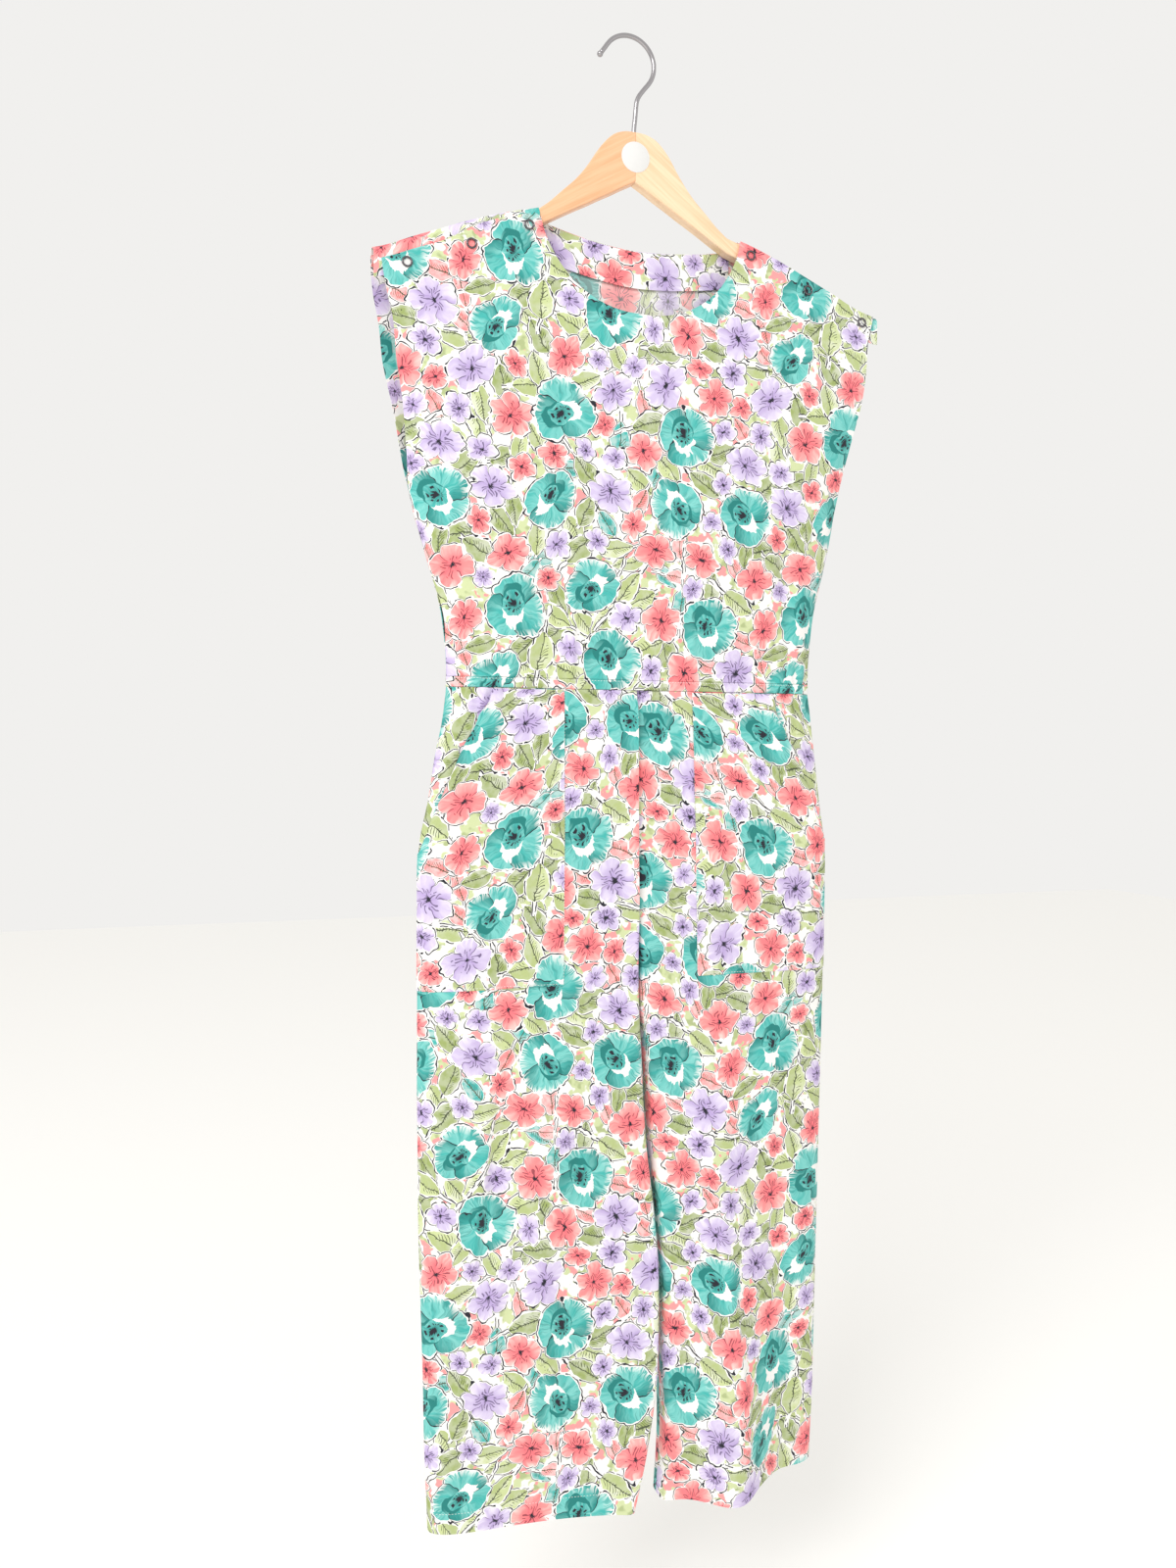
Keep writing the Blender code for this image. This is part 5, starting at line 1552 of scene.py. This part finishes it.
def snap_ring(snap):
    """An open ring of wire on the front's shoulder edge; the outer left one is drawn out to a pear."""
    x, z = np.meshgrid(snap.x + np.array([-3.0, 0.0, 3.0]), snap.z + np.array([3.0, 0.0, -3.0]))
    share = x / np.where(x < 0, column(BODICE, "left", z), column(BODICE, "right", z))
    patch = np.stack(bodice_point(share, z, False), axis=2)
    normal = normals(patch)[1, 1]
    centre = patch[1, 1] + normal * (WALL / 2 + RING_WIRE + 0.1)
    across = np.cross(normal, [0, 0, 1.0])
    across /= np.linalg.norm(across)
    up = np.cross(across, normal)
    turn, wire = np.meshgrid(circle(48), circle(12), indexing="ij")
    pear = 1 + (0.16 * np.sin(turn) if snap.name == "snap_left_3" else 0)
    radius = RING_RADIUS * pear + RING_WIRE * np.cos(wire)
    points = (
        centre
        + (radius * np.cos(turn))[..., None] * across
        + (radius * np.sin(turn))[..., None] * up
        + (RING_WIRE * np.sin(wire))[..., None] * normal
    )
    points[..., 0] += GARMENT_X
    return tube_mesh(snap.name + "_ring", points, RING_METAL, closed=True)


def label():
    """A blank round of paper stuck on the joint of the two arms."""
    turn = circle(96)
    front = -(WOOD_THICK / 2 + STICKER_FRONT)
    rings = [
        np.stack([HANGER_X + radius * np.cos(turn), y + 0 * turn, STICKER_Z + radius * np.sin(turn)], axis=1)
        for y, radius in (
            (front + 0.3, STICKER_RADIUS),
            (front + 0.05, STICKER_RADIUS),
            (front, STICKER_RADIUS - 0.1),
        )
    ]
    return tube_mesh("hanger_sticker_paper", rings, PAPER)


CLOTH_PIECES = cloth_pieces()
WOODS = {
    -1: beech("beech left arm", "#F3BD93", "#E6AB7E", -31),
    1: beech("beech right arm", "#F6D8B4", "#EAC49C", 35),
}
for side, key in KEYS.items():
    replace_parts(rounded_arm(side, WOODS[side]), "hanger_arm_" + key)
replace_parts(hook_wire(), "hanger_hook")
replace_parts(label(), "hanger_sticker")
for snap in SNAPS:
    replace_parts(snap_ring(snap), snap.name)


def hem_line(grid):
    """The row that holds up the hem of a leg."""
    rise = (grid[:, 0, 2] - grid[-1, 0, 2])[::-1]
    row = np.interp(HEM_DEEP, rise, np.arange(len(grid))[::-1])
    return along(grid, row, np.arange(2, grid.shape[1] - 2))


def casing_line(back):
    """The row that holds the casing down, near its upper edge."""
    grid, _ = casing_grid(back)
    return along(grid, 0.9, np.arange(2, grid.shape[1] - 2), CASING_WALL)


def pocket_lines(pocket):
    """Rows close to a pocket's inner and lower edges, and the one that holds its turned opening."""
    grid = pocket_grid(pocket)
    rows, columns = (np.arange(count) for count in grid.shape[:2])
    height = grid[:, 0, 2]
    width = np.abs(grid[:, -1, 0] - grid[:, 0, 0])
    last_row = np.interp(pocket.bottom + POCKET_STITCH_IN, height[::-1], rows[::-1])
    inner_column = np.interp(POCKET_STITCH_IN / width, side_shares(POCKET_COLUMNS), columns)
    outer_column = np.interp(1 - OPENING_STITCH_IN / width, side_shares(POCKET_COLUMNS), columns)
    sewn, open_rows = rows < last_row, height > pocket.opening[-1][1]
    lines = (
        (rows[sewn], inner_column[sewn]),
        (np.full(POCKET_COLUMNS - 2, last_row), columns[2:-1]),
        (rows[open_rows], outer_column[open_rows]),
    )
    return [along(grid, at, to if pocket.side < 0 else POCKET_COLUMNS - to) for at, to in lines]


stitches("hem_stitches", [hem_line(legs[side]) for side in KEYS for legs in (FRONT_LEGS, BACK_LEGS)])
stitches("casing_stitches", [casing_line(back) for back in (False, True)])
stitches("pocket_stitches", [line for pocket in POCKETS for line in pocket_lines(pocket)])

# Flat cut of what shows of each piece, in metres: width, length, area, and what it hangs from
CUTS = table(
    "node width length area rests_on",
    ("bodice_front", 0.545, 0.468, 0.204, ["hanger_arm_left_wood", "hanger_arm_right_wood"]),
    ("bodice_back", 0.559, 0.515, 0.235, ["hanger_arm_left_wood", "hanger_arm_right_wood"]),
    ("back_neck_facing", 0.211, 0.070, 0.0082, ["bodice_back_cloth"]),
    ("waist_casing_front", 0.455, 0.0105, 0.0047, ["bodice_front_cloth"]),
    ("waist_casing_back", 0.460, 0.0105, 0.0048, ["bodice_back_cloth"]),
    ("trouser_front_left", 0.276, 0.860, 0.220, ["waist_casing_front_cloth"]),
    ("trouser_front_right", 0.251, 0.867, 0.201, ["waist_casing_front_cloth"]),
    ("trouser_back_left", 0.270, 0.860, 0.213, ["waist_casing_back_cloth"]),
    ("trouser_back_right", 0.245, 0.859, 0.189, ["waist_casing_back_cloth"]),
    ("pocket_left", 0.156, 0.306, 0.0405, ["trouser_front_left_cloth"]),
    ("pocket_right", 0.172, 0.304, 0.0444, ["trouser_front_right_cloth"]),
)


# Floor, light and camera
def area_light(name, place, aim, size, power):
    """A large soft lamp at place, turned to aim."""
    lamp = bpy.data.lights.new(name, "AREA")
    lamp.shape, lamp.size, lamp.energy = "SQUARE", size, power
    obj = bpy.data.objects.new(name, lamp)
    obj.location = place
    obj.rotation_euler = (Vector(aim) - Vector(place)).to_track_quat("-Z", "Y").to_euler()
    bpy.context.scene.collection.objects.link(obj)
    return obj


FLOOR_REACH = 6.0
FLOOR_Z = -1.75
MIDDLE = (0, 0, -0.8)
floor_corners = [(x * FLOOR_REACH, y * FLOOR_REACH, FLOOR_Z) for x, y in ((-1, -1), (1, -1), (1, 1), (-1, 1))]
floor_mesh = bpy.data.meshes.new("floor")
floor_mesh.from_pydata(floor_corners, [], [(0, 1, 2, 3)])
floor_mesh.materials.append(shader("pale floor", [], {"Base Color": linear("#FFFEFB"), "Roughness": 0.9}))
floor = bpy.data.objects.new("floor", floor_mesh)
bpy.context.scene.collection.objects.link(floor)
key_light = area_light("key", (-2.6, -2.6, 1.4), MIDDLE, size=1.8, power=92)
fill_light = area_light("fill", (2.6, -2.2, 0.2), MIDDLE, size=3.0, power=5)

world = bpy.data.worlds.new("pale room")
world.use_nodes = True
backdrop = world.node_tree.nodes["Background"]
backdrop.inputs["Color"].default_value = linear("#F1F0EE")
backdrop.inputs["Strength"].default_value = 1.0
bpy.context.scene.world = world
bpy.context.scene.view_settings.view_transform = "Standard"

# The photo's viewpoint, in metres and degrees, and its lens in millimetres
EYE = np.array([-0.4791, -1.2501, -0.7219])
YAW, PITCH, ROLL = np.radians([19.44, 2.01, 0.47])
LENS = 29.25
ahead = np.array([np.sin(YAW) * np.cos(PITCH), np.cos(YAW) * np.cos(PITCH), -np.sin(PITCH)])
right = np.array([np.cos(YAW), -np.sin(YAW), 0])
up = np.cross(right, ahead)
right, up = np.cos(ROLL) * right + np.sin(ROLL) * up, np.cos(ROLL) * up - np.sin(ROLL) * right
camera = bpy.data.objects.new("camera", bpy.data.cameras.new("camera"))
camera.data.lens = LENS
camera.matrix_world = Matrix([[right[i], up[i], -ahead[i], EYE[i]] for i in range(3)] + [[0, 0, 0, 1]])
bpy.context.scene.collection.objects.link(camera)
bpy.context.scene.camera = camera
